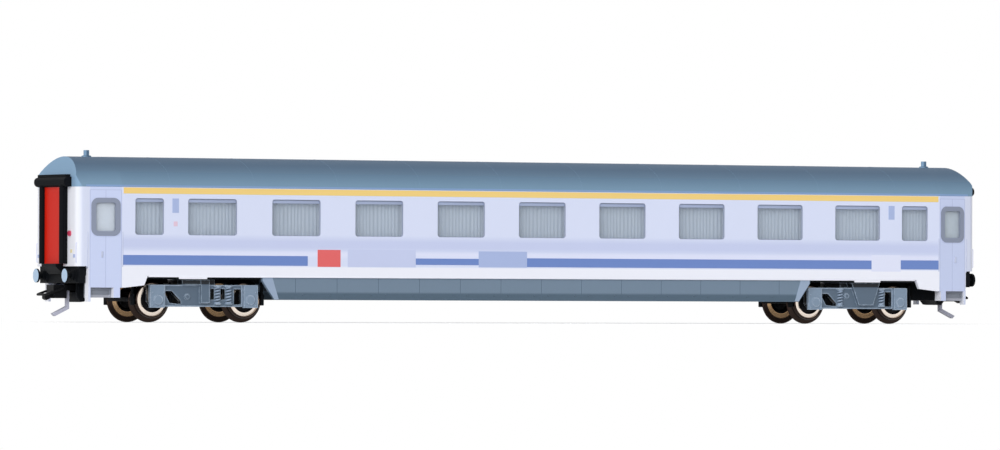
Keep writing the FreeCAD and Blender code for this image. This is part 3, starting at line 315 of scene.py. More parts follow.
# ---- finishes -----------------------------------------------------------------------------------
def group(name, inputs, outputs):
    """An empty shader group with (name, kind, value) inputs and (name, kind) outputs."""
    tree = bpy.data.node_groups.new(name, "ShaderNodeTree")
    for label, kind, value in inputs:
        socket = tree.interface.new_socket(name=label, in_out="INPUT", socket_type=kind)
        socket.default_value = value
    for label, kind in outputs:
        tree.interface.new_socket(name=label, in_out="OUTPUT", socket_type=kind)
    return tree, tree.nodes.new("NodeGroupInput"), tree.nodes.new("NodeGroupOutput")


def feed(tree, socket, value):
    """Links an output to an input, or gives the input a value of its own."""
    if isinstance(value, bpy.types.NodeSocket):
        tree.links.new(value, socket)
    else:
        socket.default_value = value


def add(tree, kind, links=None, **values):
    """A node in a tree with its properties set and its inputs linked or given values."""
    node = tree.nodes.new(kind)
    for key, value in values.items():
        setattr(node, key, value)
    for key, value in (links or {}).items():
        feed(tree, node.inputs[key], value)
    return node


def math_node(tree, operation, a, b=0.0, clamp=False):
    """The result of one operation on two values."""
    return add(tree, "ShaderNodeMath", {0: a, 1: b}, operation=operation, use_clamp=clamp).outputs[0]


def object_place(tree):
    """A point's place in its object's own frame."""
    return add(tree, "ShaderNodeTexCoord").outputs["Object"]


def normal(tree):
    """The direction a face looks."""
    return add(tree, "ShaderNodeNewGeometry").outputs["Normal"]


def axes(tree, vector):
    """The X, Y and Z of a vector."""
    return add(tree, "ShaderNodeSeparateXYZ", {0: vector}).outputs


def noise(tree, place, scale, detail):
    """A noise from 0 to 1 at a place."""
    return add(tree, "ShaderNodeTexNoise", {"Vector": place, "Scale": scale, "Detail": detail}).outputs["Fac"]


def ramp(tree, value, low, high, least=0.0):
    """A value that runs evenly from least at low to one at high, and no further."""
    return add(tree, "ShaderNodeMapRange", {"Value": value, "From Min": low, "From Max": high,
                                            "To Min": least}).outputs[0]


FLOAT = "NodeSocketFloat"


def mould_grain():
    """Fine moulded or sprayed grain: a tone that varies about one, and a height for a bump."""
    tree, start, end = group("mould_grain",
                             [("Scale", FLOAT, 4000.0), ("Tone", FLOAT, 0.03), ("Cloud", FLOAT, 60.0)],
                             [("Tone", FLOAT), ("Height", FLOAT)])
    place = object_place(tree)
    fine = noise(tree, place, start.outputs["Scale"], 3.0)
    broad = noise(tree, place, start.outputs["Cloud"], 2.0)
    mixed = math_node(tree, "ADD", math_node(tree, "MULTIPLY", fine, 0.5),
                      math_node(tree, "MULTIPLY", broad, 0.5))
    swing = math_node(tree, "MULTIPLY", math_node(tree, "SUBTRACT", mixed, 0.5), start.outputs["Tone"])
    tone = math_node(tree, "ADD", math_node(tree, "MULTIPLY", swing, 4.0), 1.0)
    tree.links.new(tone, end.inputs["Tone"])
    tree.links.new(fine, end.inputs["Height"])
    return tree


def edge_wear_and_highlight():
    """A mask that is one on sharp edges: handling polishes them, and they are lightened partly as wear and
    partly as painted highlights.
    """
    tree, start, end = group("edge_wear_and_highlight", [("Radius", FLOAT, 0.0002), ("Patchiness", FLOAT, 900.0)],
                             [("Mask", FLOAT)])
    place = object_place(tree)
    bevel = add(tree, "ShaderNodeBevel", {"Radius": start.outputs["Radius"]}, samples=4)
    turn = add(tree, "ShaderNodeVectorMath", {0: bevel.outputs[0], 1: normal(tree)}, operation="DOT_PRODUCT")
    edge = ramp(tree, turn.outputs["Value"], 0.995, 0.75)
    rough = ramp(tree, noise(tree, place, start.outputs["Patchiness"], 3.0), 0.35, 0.65, 0.25)
    tree.links.new(math_node(tree, "MULTIPLY", edge, rough, clamp=True), end.inputs["Mask"])
    return tree


def dust_settle():
    """A mask of fine dust on faces that look up and in the broad patches of a slow noise."""
    tree, start, end = group("dust_settle", [("Amount", FLOAT, 0.3), ("Scale", FLOAT, 120.0)],
                             [("Mask", FLOAT)])
    lying = ramp(tree, axes(tree, normal(tree))["Z"], 0.2, 1.0)
    patch = noise(tree, object_place(tree), start.outputs["Scale"], 4.0)
    amount = math_node(tree, "MULTIPLY", math_node(tree, "MULTIPLY", lying, patch),
                       start.outputs["Amount"], clamp=True)
    tree.links.new(amount, end.inputs["Mask"])
    return tree


def band():
    """A mask that is one between two heights, with soft edges of a given width."""
    tree, start, end = group("band", [("Value", FLOAT, 0.0), ("Low", FLOAT, 0.0), ("High", FLOAT, 1.0),
                                      ("Soft", FLOAT, 0.0001)], [("Mask", FLOAT)])
    value, low, high, soft = (start.outputs[k] for k in ("Value", "Low", "High", "Soft"))
    slopes = []
    for more, less in ((value, low), (high, value)):
        run = math_node(tree, "DIVIDE", math_node(tree, "SUBTRACT", more, less), soft)
        slopes.append(math_node(tree, "ADD", run, 0.5, clamp=True))
    tree.links.new(math_node(tree, "MULTIPLY", *slopes), end.inputs["Mask"])
    return tree


GROUPS = {"grain": mould_grain(), "wear_and_highlight": edge_wear_and_highlight(), "dust": dust_settle(), "band": band()}


def use(tree, name, **values):
    """A shared group placed in a material with its own values."""
    node = tree.nodes.new("ShaderNodeGroup")
    node.node_tree = GROUPS[name]
    for key, value in values.items():
        feed(tree, node.inputs[key], value)
    return node.outputs


def linear(rgb):
    """A colour of 0 to 255 screen values as linear light."""
    c = np.asarray(rgb, float) / 255
    return tuple(np.where(c <= 0.04045, c / 12.92, ((c + 0.055) / 1.055) ** 2.4)) + (1.0,)


def blend(tree, factor, a, b, mode="MIX"):
    """One colour over another by a factor."""
    node = tree.nodes.new("ShaderNodeMix")
    node.data_type, node.blend_type = "RGBA", mode
    for index, value in ((0, factor), (6, a), (7, b)):
        feed(tree, node.inputs[index], value)
    return node.outputs[2]


def material(name):
    """A new material's node tree and shader. The material is kept in COAT under its name."""
    COAT[name] = bpy.data.materials.new(name)
    COAT[name].use_nodes = True
    tree = COAT[name].node_tree
    return tree, tree.nodes["Principled BSDF"]


def toned(tree, colour, speck):
    """A colour times the tone of a grain."""
    tone = speck["Tone"]
    shade = add(tree, "ShaderNodeCombineColor", {0: tone, 1: tone, 2: tone}).outputs[0]
    return blend(tree, 1.0, colour, shade, "MULTIPLY")


def surface(tree, shader, colour, rough, height, strength, distance):
    """Gives a shader its colour, its roughness and a bump from a height."""
    bump = add(tree, "ShaderNodeBump", {"Height": height, "Strength": strength, "Distance": distance})
    tree.links.new(colour, shader.inputs["Base Color"])
    tree.links.new(rough, shader.inputs["Roughness"])
    tree.links.new(bump.outputs[0], shader.inputs["Normal"])


def swung(tree, value, swing, middle):
    """A value times a swing, with a middle added."""
    return math_node(tree, "ADD", math_node(tree, "MULTIPLY", value, swing), middle)


DUST = (176, 176, 172)


def finish(name, rgb, rough=0.45, grain=4000.0, tone=0.03, depth=0.25, wear_and_highlight=0.25, wear_and_highlight_rgb=None, dust=0.0,
           metal=0.0, coat=0.0, spec=0.4, bands=(), painted_end_light=None, size=0.00012):
    """A moulded or painted finish: bands of other colours by place, among them painted shade and painted
    highlights, grain, lighter edges and dust.

    Painted end light is a lighter colour painted on the faces that look along the coach, as light falling on the
    ends, with how far the normal leans that way where it begins and where it is full. Size is the width of an
    edge that is lightened, partly as wear and partly as a painted highlight.
    """
    tree, shader = material(name)
    place = axes(tree, object_place(tree))
    colour = linear(rgb)
    for band_rgb, axis, low, high, soft in bands:
        at = place[axis] if axis == "Z" else math_node(tree, "ABSOLUTE", place[axis])
        mask = use(tree, "band", Value=at, Low=low * MM, High=high * MM, Soft=soft * MM)[0]
        colour = blend(tree, mask, colour, linear(band_rgb))
    if painted_end_light:
        painted_end_light_rgb, begins, full = painted_end_light
        lean = math_node(tree, "ABSOLUTE", axes(tree, normal(tree))["X"])
        colour = blend(tree, ramp(tree, lean, begins, full), colour, linear(painted_end_light_rgb))
    speck = use(tree, "grain", Scale=grain, Tone=tone)
    colour = toned(tree, colour, speck)
    # Edges lightened partly as wear and partly as painted highlights.
    worn_and_lit_edges = use(tree, "wear_and_highlight", Radius=size * 1.5)[0]
    lighter = tuple(min(1.0, c * 1.35 + 0.03) for c in linear(rgb)[:3]) + (1.0,)
    colour = blend(tree, math_node(tree, "MULTIPLY", worn_and_lit_edges, wear_and_highlight), colour,
                   linear(wear_and_highlight_rgb) if wear_and_highlight_rgb else lighter)
    colour = blend(tree, use(tree, "dust", Amount=dust)[0], colour, linear(DUST))
    dull = swung(tree, math_node(tree, "SUBTRACT", speck["Height"], 0.5), 0.16, rough)
    dull = math_node(tree, "SUBTRACT", dull, math_node(tree, "MULTIPLY", worn_and_lit_edges, 0.1), clamp=True)
    surface(tree, shader, colour, dull, speck["Height"], depth, 0.00002)
    shader.inputs["Metallic"].default_value = metal
    shader.inputs["Coat Weight"].default_value = coat
    shader.inputs["Specular IOR Level"].default_value = spec


def clear_finish(name, rgb, alpha, rough=0.08):
    """Thin clear plastic: a tinted see-through sheet with a soft gloss, and faint moulding waves."""
    tree, shader = material(name)
    speck = use(tree, "grain", Scale=900.0, Tone=0.05)
    surface(tree, shader, toned(tree, linear(rgb), speck), swung(tree, speck["Height"], 0.06, rough),
            speck["Height"], 0.06, 0.00003)
    shader.inputs["Alpha"].default_value = alpha


LAVENDER, SHADE, WHITE, DOOR_ZONE_SHADE = (214, 221, 244), (197, 205, 235), (221, 225, 247), (197, 207, 237)
# Painted light: the faces that look along the coach are painted lighter, as lit ends.
finish("body_paint", LAVENDER, 0.42, tone=0.012, spec=0.25, wear_and_highlight=0.1, depth=0.1,
       painted_end_light=((238, 240, 249), 0.3, 0.9), bands=[
    (SHADE, "Z", RAIL + 14.3, RAIL + 16.9, 1.4),
    (WHITE, "Z", RAIL + 13.0, RAIL + 14.0, 0.7),
    ((236, 238, 248), "Z", RAIL + 3.0, RAIL + 10.9, 0.4),
    # Painted shade: the tapered door zones are painted darker, as turned away from the light.
    (DOOR_ZONE_SHADE, "X", 98.95, 105.9, 0.1),
    # Painted shade: the corners beyond the doors are painted darker.
    ((209, 215, 235), "X", 105.9, 120.0, 0.3),
])
# Painted light and shade on the roof: its ends are painted lighter, as lit, and its crown darker, as turned away
# from the light.
finish("roof_paint", (118, 148, 172), 0.62, tone=0.02, dust=0.03, wear_and_highlight=0.15, depth=0.3, spec=0.2,
       painted_end_light=((133, 165, 194), 0.08, 0.75), bands=[((80, 105, 130), "Z", RAIL + 29.95, RAIL + 60.0, 4.5)])
# Painted reflection: the gutters along the eaves are a paler blue, as the sky seen in them.
finish("gutter_painted_reflection", (128, 157, 197), 0.5, tone=0.02, wear_and_highlight=0.1, spec=0.25)
for name, rgb, tone in (("yellow", (238, 206, 128), 0.02), ("blue", (110, 136, 196), 0.03),
                        ("pale_blue", (168, 183, 222), 0.02), ("pale", (222, 226, 246), 0.01),
                        ("shade", (196, 204, 234), 0.01), ("red", (224, 104, 104), 0.02),
                        ("pale_red", (222, 196, 214), 0.02), ("ochre", (228, 216, 168), 0.02)):
    finish(name + "_print", rgb, tone=tone, wear_and_highlight=0.0, depth=0.08, spec=0.2)
finish("red_paint", (208, 30, 8), 0.45, tone=0.05, wear_and_highlight=0.15, spec=0.12)
finish("lamp_red_plastic", (200, 60, 92), 0.18, tone=0.02, wear_and_highlight=0.1, coat=0.5, spec=0.3)
finish("gangway_rubber", (13, 15, 19), 0.75, tone=0.08, dust=0.05, wear_and_highlight=0.12, depth=0.5, spec=0.08)
finish("chassis_plastic", (12, 15, 19), 0.6, tone=0.08, dust=0.04, wear_and_highlight=0.12, spec=0.08)
# Painted highlight: a pale disc on each buffer's face, as light caught by it.
finish("buffer_painted_highlight", (172, 200, 228), 0.3, tone=0.03, wear_and_highlight=0.3, coat=0.15, spec=0.3)
# Painted highlight: the steps are paler below the lower tread's top, as a lit tread edge.
finish("step_plastic", (124, 129, 139), 0.5, tone=0.05, dust=0.1, spec=0.2, bands=[
    ((158, 161, 172), "Z", -1.0, RAIL + 4.85, 0.1)])
finish("apron_plastic", (114, 132, 150), 0.5, tone=0.03, spec=0.2, wear_and_highlight=0.4, bands=[
    ((82, 100, 116), "Z", -1.0, RAIL + 5.45, 0.5)])
finish("apron_seam_shadow", (88, 105, 122), 0.7, tone=0.02, wear_and_highlight=0.0, spec=0.1)
# Painted highlight: pale plates on the apron's slanted ends, as light on a bevel.
finish("apron_end_painted_highlight", (150, 167, 190), 0.45, tone=0.03, wear_and_highlight=0.4, spec=0.25)
finish("equipment_plastic", (74, 86, 98), 0.5, tone=0.05, dust=0.1, spec=0.2)
finish("steel_plate", (150, 150, 152), 0.35, metal=1.0, tone=0.05)
finish("liner_plastic", (206, 210, 212), 0.6, tone=0.03)
finish("seat_plastic", (158, 154, 150), 0.8, grain=2600.0, tone=0.1, depth=0.6)
# Painted light and shade on the bogie frames: behind the outer face and at the top under the body they are
# painted near black, as shade, and their edges are painted pale, as highlights.
finish("bogie_plastic", (90, 106, 123), 0.42, tone=0.06, dust=0.05, wear_and_highlight=1.0, wear_and_highlight_rgb=(182, 199, 218),
       spec=0.3, size=0.0003,
       bands=[((14, 17, 21), "Y", -1.0, 9.3, 0.12), ((24, 30, 36), "Z", RAIL + 7.1, RAIL + 20.0, 0.15)])
# Painted highlights: the axle boxes' edges are painted pale.
finish("axle_box_plastic", (126, 144, 164), 0.4, tone=0.05, wear_and_highlight=1.0, wear_and_highlight_rgb=(205, 220, 236),
       spec=0.3, size=0.0002)
finish("bogie_shadow_plastic", (14, 17, 21), 0.6, tone=0.06, wear_and_highlight=0.2, spec=0.08)
finish("spring_paint", (146, 163, 184), 0.4, tone=0.06, wear_and_highlight=0.5, spec=0.3)
finish("wheel_centre_plastic", (16, 16, 19), 0.5, tone=0.06, wear_and_highlight=0.15, spec=0.12)
finish("coupling_plastic", (14, 15, 18), 0.5, tone=0.06, wear_and_highlight=0.2, spec=0.1)
finish("arm_metal", (186, 188, 206), 0.35, tone=0.05, wear_and_highlight=0.3, spec=0.35)
finish("frame_rubber", (136, 144, 163), 0.5, tone=0.03, wear_and_highlight=0.15, spec=0.2)
# Partly painted shade: the gaskets' grey is darkened as the shaded reveal of the window openings.
finish("gasket_rubber_and_reveal_shade", (152, 161, 184), 0.6, tone=0.03, wear_and_highlight=0.1, spec=0.15)
finish("seam_shadow", (180, 189, 220), 0.7, tone=0.02, wear_and_highlight=0.0, spec=0.1)
# Partly painted shade: the toplights' tint is darker as shade under the windows' upper reveals.
finish("toplight_tint_and_shade", (160, 172, 200), 0.3, tone=0.03, wear_and_highlight=0.0, spec=0.3)
finish("curtain_cloth", (220, 229, 238), 0.9, grain=5200.0, tone=0.05, depth=0.5, wear_and_highlight=0.0, spec=0.1)
# Painted light: a very pale lining card, as a lit space behind the door glass.
finish("lit_lining_card", (246, 250, 255), 0.9, grain=3000.0, tone=0.02, depth=0.2, wear_and_highlight=0.0, spec=0.1)
finish("shaded_card", (186, 204, 208), 0.9, grain=3000.0, tone=0.02, depth=0.2, wear_and_highlight=0.0, spec=0.1)
finish("rail_paint", (190, 197, 220), 0.4, tone=0.03, wear_and_highlight=0.2, spec=0.3)
clear_finish("window_plastic", (164, 178, 197), 0.26)
clear_finish("door_glass_plastic", (214, 224, 236), 0.4)


def wheel_metal():
    """Turned wheel metal: a bright ring on the face, a yellowish ring behind painted as a reflection, and the
    tread and flange painted dark as shade.

    The distance from an axle is the length of the height over the axle and of how far x is from the
    nearest axle, which is the absolute value of (|x| less the pivot's x) less half the wheelbase.
    Fine turning rings follow that distance.
    """
    tree, shader = material("turned_metal")
    place = axes(tree, object_place(tree))
    x = math_node(tree, "ABSOLUTE", place["X"])
    x = math_node(tree, "ABSOLUTE", math_node(tree, "SUBTRACT", x, PIVOT * MM))
    x = math_node(tree, "SUBTRACT", x, WHEELBASE / 2 * MM)
    z = math_node(tree, "SUBTRACT", place["Z"], AXLE * MM)
    flat = add(tree, "ShaderNodeCombineXYZ", {0: x, 1: z})
    away = add(tree, "ShaderNodeVectorMath", {0: flat.outputs[0]}, operation="LENGTH").outputs["Value"]
    across = math_node(tree, "ABSOLUTE", place["Y"])
    edge, back, inner = (
        use(tree, "band", Value=value, Low=low * MM, High=high * MM, Soft=soft * MM)[0]
        for value, low, high, soft in ((away, 3.37, 9.0, 0.06), (across, 0.0, 5.25, 0.1), (away, 0.0, 3.5, 0.2)))
    rings = noise(tree, add(tree, "ShaderNodeCombineXYZ", {0: away}).outputs[0], 9000.0, 2.0)
    # The dark tread and flange are painted shade; the yellowish ring at the back is a painted reflection.
    bright, dark, painted_reflection = linear((240, 226, 212)), linear((54, 44, 40)), linear((212, 174, 132))
    colour = blend(tree, edge, bright, dark)
    colour = blend(tree, math_node(tree, "MULTIPLY", back, inner), colour, painted_reflection)
    colour = toned(tree, colour, use(tree, "grain", Scale=3000.0, Tone=0.08))
    surface(tree, shader, colour, swung(tree, rings, 0.14, 0.12), rings, 0.2, 0.00001)
    shader.inputs["Metallic"].default_value = 1.0


wheel_metal()

NODE_FINISH = {
    "body_shell": "body_paint", "skirt_corners": "body_paint", "roof": "roof_paint",
    "roof_aerials": "roof_paint", "window_glazing": "window_plastic", "door_window_frames": "frame_rubber",
    "door_window_panes": "door_glass_plastic", "gangway_bellows": "gangway_rubber",
    "gangway_doors": "red_paint", "tail_lamps": "lamp_red_plastic", "headstocks": "chassis_plastic",
    "gangway_footplates": "chassis_plastic", "buffer_casings": "chassis_plastic",
    "buffer_plates": "chassis_plastic", "entrance_steps": "step_plastic", "floor_plate": "chassis_plastic",
    "centre_sills": "chassis_plastic", "coupling_guides": "chassis_plastic", "apron": "apron_plastic",
    "equipment_boxes": "equipment_plastic", "air_reservoirs": "equipment_plastic",
    "ballast_weight": "steel_plate", "compartments": "liner_plastic", "seats": "seat_plastic",
}
for letter, _ in LETTERED_ENDS:
    bogie, coupling = "bogie_" + letter, "coupling_" + letter
    NODE_FINISH.update({
        bogie + "_frame": "bogie_plastic", bogie + "_axle_boxes": "axle_box_plastic",
        bogie + "_springs": "spring_paint", coupling + "_drawbar": "coupling_plastic",
        coupling + "_head": "coupling_plastic", coupling + "_loop": "coupling_plastic",
        coupling + "_trip_arm": "arm_metal"})
    for number in "12":
        wheelset = "wheelset_" + letter + number
        NODE_FINISH.update({wheelset + "_axle": "wheel_centre_plastic", wheelset + "_tyres": "turned_metal"})
for node, coat in NODE_FINISH.items():
    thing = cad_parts[node]
    if not thing.material_slots:
        thing.data.materials.append(None)
    for material_slot in thing.material_slots:
        material_slot.link = "OBJECT"
        material_slot.material = COAT[coat]


def piece(name, parts, body, coat, smooth=True):
    """A finished piece made of several shapes, riding on a body, with its finish."""
    points, faces = gathered(parts)
    thing = mesh_of(name, points, faces, smooth)
    thing.data.materials.append(COAT[coat])
    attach(thing, body)
    return thing


# ---- printed stripes and panels -----------------------------------------------------------------
# Strips on the sides: finish, then their x0, x1 and heights over the rail top.
PRINTS = [
    ("yellow_print", -98.6, 98.6, 25.95, 27.2),
    ("blue_print", -98.8, -55.9, 11.1, 13.15),
    ("blue_print", -30.4, -15.35, 11.45, 12.8),
    ("pale_blue_print", -15.35, -3.7, 11.0, 14.4),
    ("blue_print", -3.7, 81.6, 11.1, 13.0),
    ("pale_print", 81.6, 89.0, 10.6, 14.2),
    ("blue_print", 89.0, 98.8, 11.1, 13.1),
    ("shade_print", -46.5, -30.4, 10.9, 14.6),
    ("pale_blue_print", -87.4, -85.9, 22.0, 25.0),
    ("pale_blue_print", 85.9, 87.4, 22.0, 25.0),
    ("pale_red_print", -87.1, -86.2, 19.2, 20.2),
    ("red_print", -53.6, -48.2, 10.9, 14.5),
]
for coat in dict.fromkeys(row[0] for row in PRINTS):
    parts = [strip(x0, x1, RAIL + z0, RAIL + z1, side)
             for c, x0, x1, z0, z1 in PRINTS if c == coat for side in SIDES]
    piece(coat + "_strips", parts, "coach", coat, smooth=False)

# The sides' lower edge, rolled outwards, and a short valance over each bogie's damper.
EDGE_BACK, EDGE_FOOT, EDGE_TOP = 11.42, 8.55, 8.95
VALANCE = [(-3.4, EDGE_TOP), (-3.2, 8.2), (3.2, 8.2), (3.4, EDGE_TOP)]
rolled = [eased_block(-92.8, 92.8, side * EDGE_BACK, side * 11.8, RAIL + EDGE_FOOT, RAIL + EDGE_TOP, 0.12)
          for side in SIDES]
valances = [slab([(side * (x + u), RAIL + rise) for u, rise in VALANCE], -side * EDGE_BACK, -side * 11.78)
            for side in SIDES for x in (-82.5, 80.65)]
piece("side_lower_edges", rolled + valances, "coach", "body_paint")

# ---- windows and doors --------------------------------------------------------------------------
CURTAIN_Y = 10.06
CURTAIN_OVERLAP = 0.4       # how far a curtain reaches past the opening, up and down
BAR = 0.14                  # rim left free round a toplight


def window_gasket(x, width, side):
    """A thin lining of the window opening, outside the glass. Its grey is partly the rubber's own and partly
    painted shade of the opening's reveal.
    """
    loop = rounded_loop(width - 0.1, HEAD - SILL - 0.1, 0.55)
    path = np.stack([x + loop[:, 0], np.full(len(loop), side * GLASS), (SILL + HEAD) / 2 + loop[:, 1]], -1)
    section = np.array([(-0.05, -0.05), (0.05, -0.05), (0.05, 0.26), (0.0, 0.31), (-0.05, 0.26)])
    return carried(path, section, (0, side, 0), loop=True)


def curtain(x0, x1, side, turn, pitch=0.85):
    """A pleated curtain close behind the glass.

    Across the window y swings about a middle value by a sine of x with one wave a pleat, its size growing
    from the heading down to the hem, while a slower sine makes the pleats wander.
    """
    count = int((x1 - x0) / pitch * 10)
    foot, top = SILL - CURTAIN_OVERLAP, HEAD + CURTAIN_OVERLAP
    x, z = np.meshgrid(np.linspace(x0, x1, count), np.linspace(foot, top, 5))
    fall = (top - z) / (HEAD - SILL + 2 * CURTAIN_OVERLAP)
    wave = np.sin(2 * math.pi * x / pitch + 0.9 * np.sin(1.1 * x + turn)) * (0.04 + 0.04 * fall)
    y = CURTAIN_Y + wave
    front = np.stack([x, side * (y + 0.02), z], -1)
    back = np.stack([x, side * (y - 0.02), z], -1)
    return between(front, back)


def toplight(x, width, side):
    """The tinted upper part of a window with its slim bar, on the glass. Its darker tint is partly painted shade
    under the window's upper reveal.
    """
    half = width / 2 - BAR
    return eased_block(x - half, x + half, side * (GLASS - 0.02), side * (GLASS + 0.03),
                       HEAD - 0.8, HEAD - BAR, 0.03)


piece("window_gaskets", [window_gasket(x, width, side) for x, width in WINDOW_ROW for side in SIDES],
      "coach", "gasket_rubber_and_reveal_shade")
piece("window_toplights", [toplight(x, width, side) for x, width in WINDOW_ROW for side in SIDES],
      "coach", "toplight_tint_and_shade")
for side, label, open_part in ((-1, "compartment", 0.0), (1, "corridor", 0.42)):
    parts = []
    for turn, (x, width) in enumerate(WINDOW_ROW):
        half = width / 2 + 0.5
        if open_part:
            inner = open_part * half
            parts += [curtain(x - half, x - inner, side, turn),
                      curtain(x + inner, x + half, side, turn + 3)]
        else:
            parts.append(curtain(x - half, x + half, side, turn))
    piece(label + "_curtains", parts, "coach", "curtain_cloth")


def door_blind(end, side):
    """A lining close behind a door window, following the tapered side; at the -X end it is painted lit, at the
    +X end painted shaded.
    """
    x = end * np.array([DOOR - 3.4, DOOR + 3.4])
    y = on_side(x, side, -1.05)
    front = np.stack([np.stack([x, y, np.full(2, z)], -1) for z in (RAIL + 16.9, RAIL + 25.2)])
    back = front - np.array([0, side * 0.3, 0])
    return between(front, back)


# Painted light and shade: the -X door linings are painted lit and the +X ones painted shaded.
for name, coat, end in (("door_linings", "lit_lining_card", -1), ("shaded_door_linings", "shaded_card", 1)):
    piece(name, [door_blind(end, side) for side in SIDES], "coach", coat, smooth=False)
DOOR_EDGE, DOOR_END, DOOR_FOOT, DOOR_HEAD = 99.05, 105.85, RAIL + 6.4, RAIL + 26.6
WINDOW_FOOT, WINDOW_TOP = RAIL + 17.1, RAIL + 25.0
SEAM, SEAM_PROUD = 0.12, 0.012
seams = []
for end, side in CORNERS:
    for x in (DOOR_EDGE, DOOR_END):
        seams.append(upright(end * x, DOOR_FOOT, DOOR_HEAD, side, 0.14, SEAM_PROUD))
    for z0, z1 in ((DOOR_FOOT, WINDOW_FOOT), (WINDOW_TOP, DOOR_HEAD)):
        seams.append(upright(end * DOOR, z0, z1, side, SEAM, SEAM_PROUD))
    seams.append(strip(end * DOOR_EDGE, end * DOOR_END, DOOR_HEAD, DOOR_HEAD + SEAM, side, SEAM_PROUD))
piece("door_seams", seams, "coach", "seam_shadow", smooth=False)


def handrail(x, z0, z1, side):
    """An upright handrail half sunk in the side, bent in at both ends."""
    y, deep, bend = on_side(x, side, -0.03), on_side(x, side, -0.5), 0.25
    return wire([(x, deep, z0), (x, y, z0 + bend), (x, y, z1 - bend), (x, deep, z1)], 0.11, (1, 0, 0), bend)


piece("door_handrails", [handrail(end * x, RAIL + 10.4, RAIL + 18.2, side)
                         for end, side in CORNERS for x in (98.75, 106.35)],
      "coach", "rail_paint")
piece("door_handles", [eased_block(end * 103.0, end * 103.5, on_side(end * DOOR, side, -0.2),
                                   on_side(end * DOOR, side, 0.08), RAIL + 12.6, RAIL + 13.9, 0.1)
                       for end, side in CORNERS], "coach", "rail_paint")
piece("step_risers", [eased_block(end * 100.85, end * 105.65, side * 10.0, side * 10.25,
                                  RAIL + 4.7, RAIL + 5.9, 0.05)
                      for end, side in CORNERS], "coach", "step_plastic")

# ---- roof ---------------------------------------------------------------------------------------
def roof_line(count=14):
    """(y, z) along the roof's section from one eave over the crown to the other, as arcs through points."""
    shoulder = (HALF - 1.6, EAVES + 3.2)
    bulge = (HALF - 0.8 + 0.225, EAVES + 1.6 + 0.1125)
    side = arc_through((HALF, EAVES), bulge, shoulder, count)
    top = arc_through(shoulder, (0.0, CROWN), (-shoulder[0], shoulder[1]), 3 * count)
    return np.concatenate([side, top[1:-1], side[::-1] * (-1, 1)])


def roof_weld(x):
    """A flat weld line across the roof at x, following its section."""
    line = roof_line()[::-1]
    path = np.c_[np.full(len(line), x), line]
    section = np.array([(-0.1, -0.07), (0.008, -0.07), (0.02, 0.0), (0.008, 0.07), (-0.1, 0.07)])
    return carried(path, section, (1, 0, 0))


piece("roof_welds", [roof_weld((k - 4.5) * WINDOW_PITCH) for k in range(10)],
      "coach", "roof_paint")
gutters = []
for side in SIDES:
    path = along_side(-END + 1.9, END - 1.9, EAVES + 0.22, side)
    section = np.array([(-0.2, -0.2), (0.2, -0.2), (0.2, 0.0), (0.1, 0.08), (-0.12, 0.09), (-0.2, 0.04)])
    gutters.append(carried(path, section, (0, side, 0)))
# The gutters' paler blue is a painted reflection.
piece("roof_gutters", gutters, "coach", "gutter_painted_reflection")
AERIAL_FOOT = [(-0.4, 1.05), (0.12, 1.05), (0.22, 0.95), (0.3, 0.65)]
piece("aerial_feet", [turned(AERIAL_FOOT, (end * 101.8, 0, CROWN - 0.03), (0, 0, 1), 32) for end in ENDS],
      "coach", "roof_paint")

# ---- ends ---------------------------------------------------------------------------------------
BUFFER_Y, BUFFER_Z = 7.29, RAIL + 8.83
BUFFER_FACE, HEADSTOCK_FACE = 110.0, 108.05
# Painted highlight: each buffer's face carries a pale disc, as light caught by it.
HIGHLIGHT_DISC = [(-0.05, 1.42), (0.02, 1.42), (0.05, 1.25), (0.07, 0.8), (0.08, 0.25)]
piece("buffer_face_highlights", [turned(HIGHLIGHT_DISC, (end * BUFFER_FACE, side * BUFFER_Y, BUFFER_Z), (end, 0, 0), 40)
                       for end, side in CORNERS], "coach", "buffer_painted_highlight")
bases, bolts = [], []
for end, side in CORNERS:
    y = side * BUFFER_Y
    bases.append(eased_block(end * 107.85, end * HEADSTOCK_FACE, y - 1.55, y + 1.55,
                             BUFFER_Z - 1.35, BUFFER_Z + 1.35, 0.06))
    places = [(end * HEADSTOCK_FACE, y + 1.25 * u, BUFFER_Z + 1.05 * w) for u in SIDES for w in SIDES]
    bolts.append(studs(places, (end, 0, 0), 0.17, 0.14))
piece("buffer_bases", bases + bolts, "coach", "chassis_plastic")
piece("gangway_pleats", [eased_block(end * (x - 0.1), end * (x + 0.1), side * 5.5, side * 5.74,
                                     RAIL + 11.5, RAIL + 26.9, 0.08)
                         for end, side in CORNERS for x in (108.85, 109.25, 109.65)],
      "coach", "gangway_rubber")
HANDRAIL_BENDS = [(108.2, 11.6), (108.62, 11.6), (108.62, 15.6), (108.2, 15.6)]
piece("end_handrails", [wire([(end * x, side * 9.9, RAIL + rise) for x, rise in HANDRAIL_BENDS],
                             0.1, (0, 1, 0), 0.25) for end, side in CORNERS],
      "coach", "pale_print")
LABEL_HALF, LABEL_HALF_HEIGHT = 0.45, 0.35
for name, coat, y, rise in (("end_upper_labels", "ochre_print", 7.6, 13.9),
                            ("end_lower_labels", "pale_blue_print", 9.0, 12.9)):
    piece(name, [eased_block(end * 108.55, end * 108.64, side * (y - LABEL_HALF), side * (y + LABEL_HALF),
                             RAIL + rise - LABEL_HALF_HEIGHT, RAIL + rise + LABEL_HALF_HEIGHT, 0.03)
                 for end, side in CORNERS], "coach", coat)

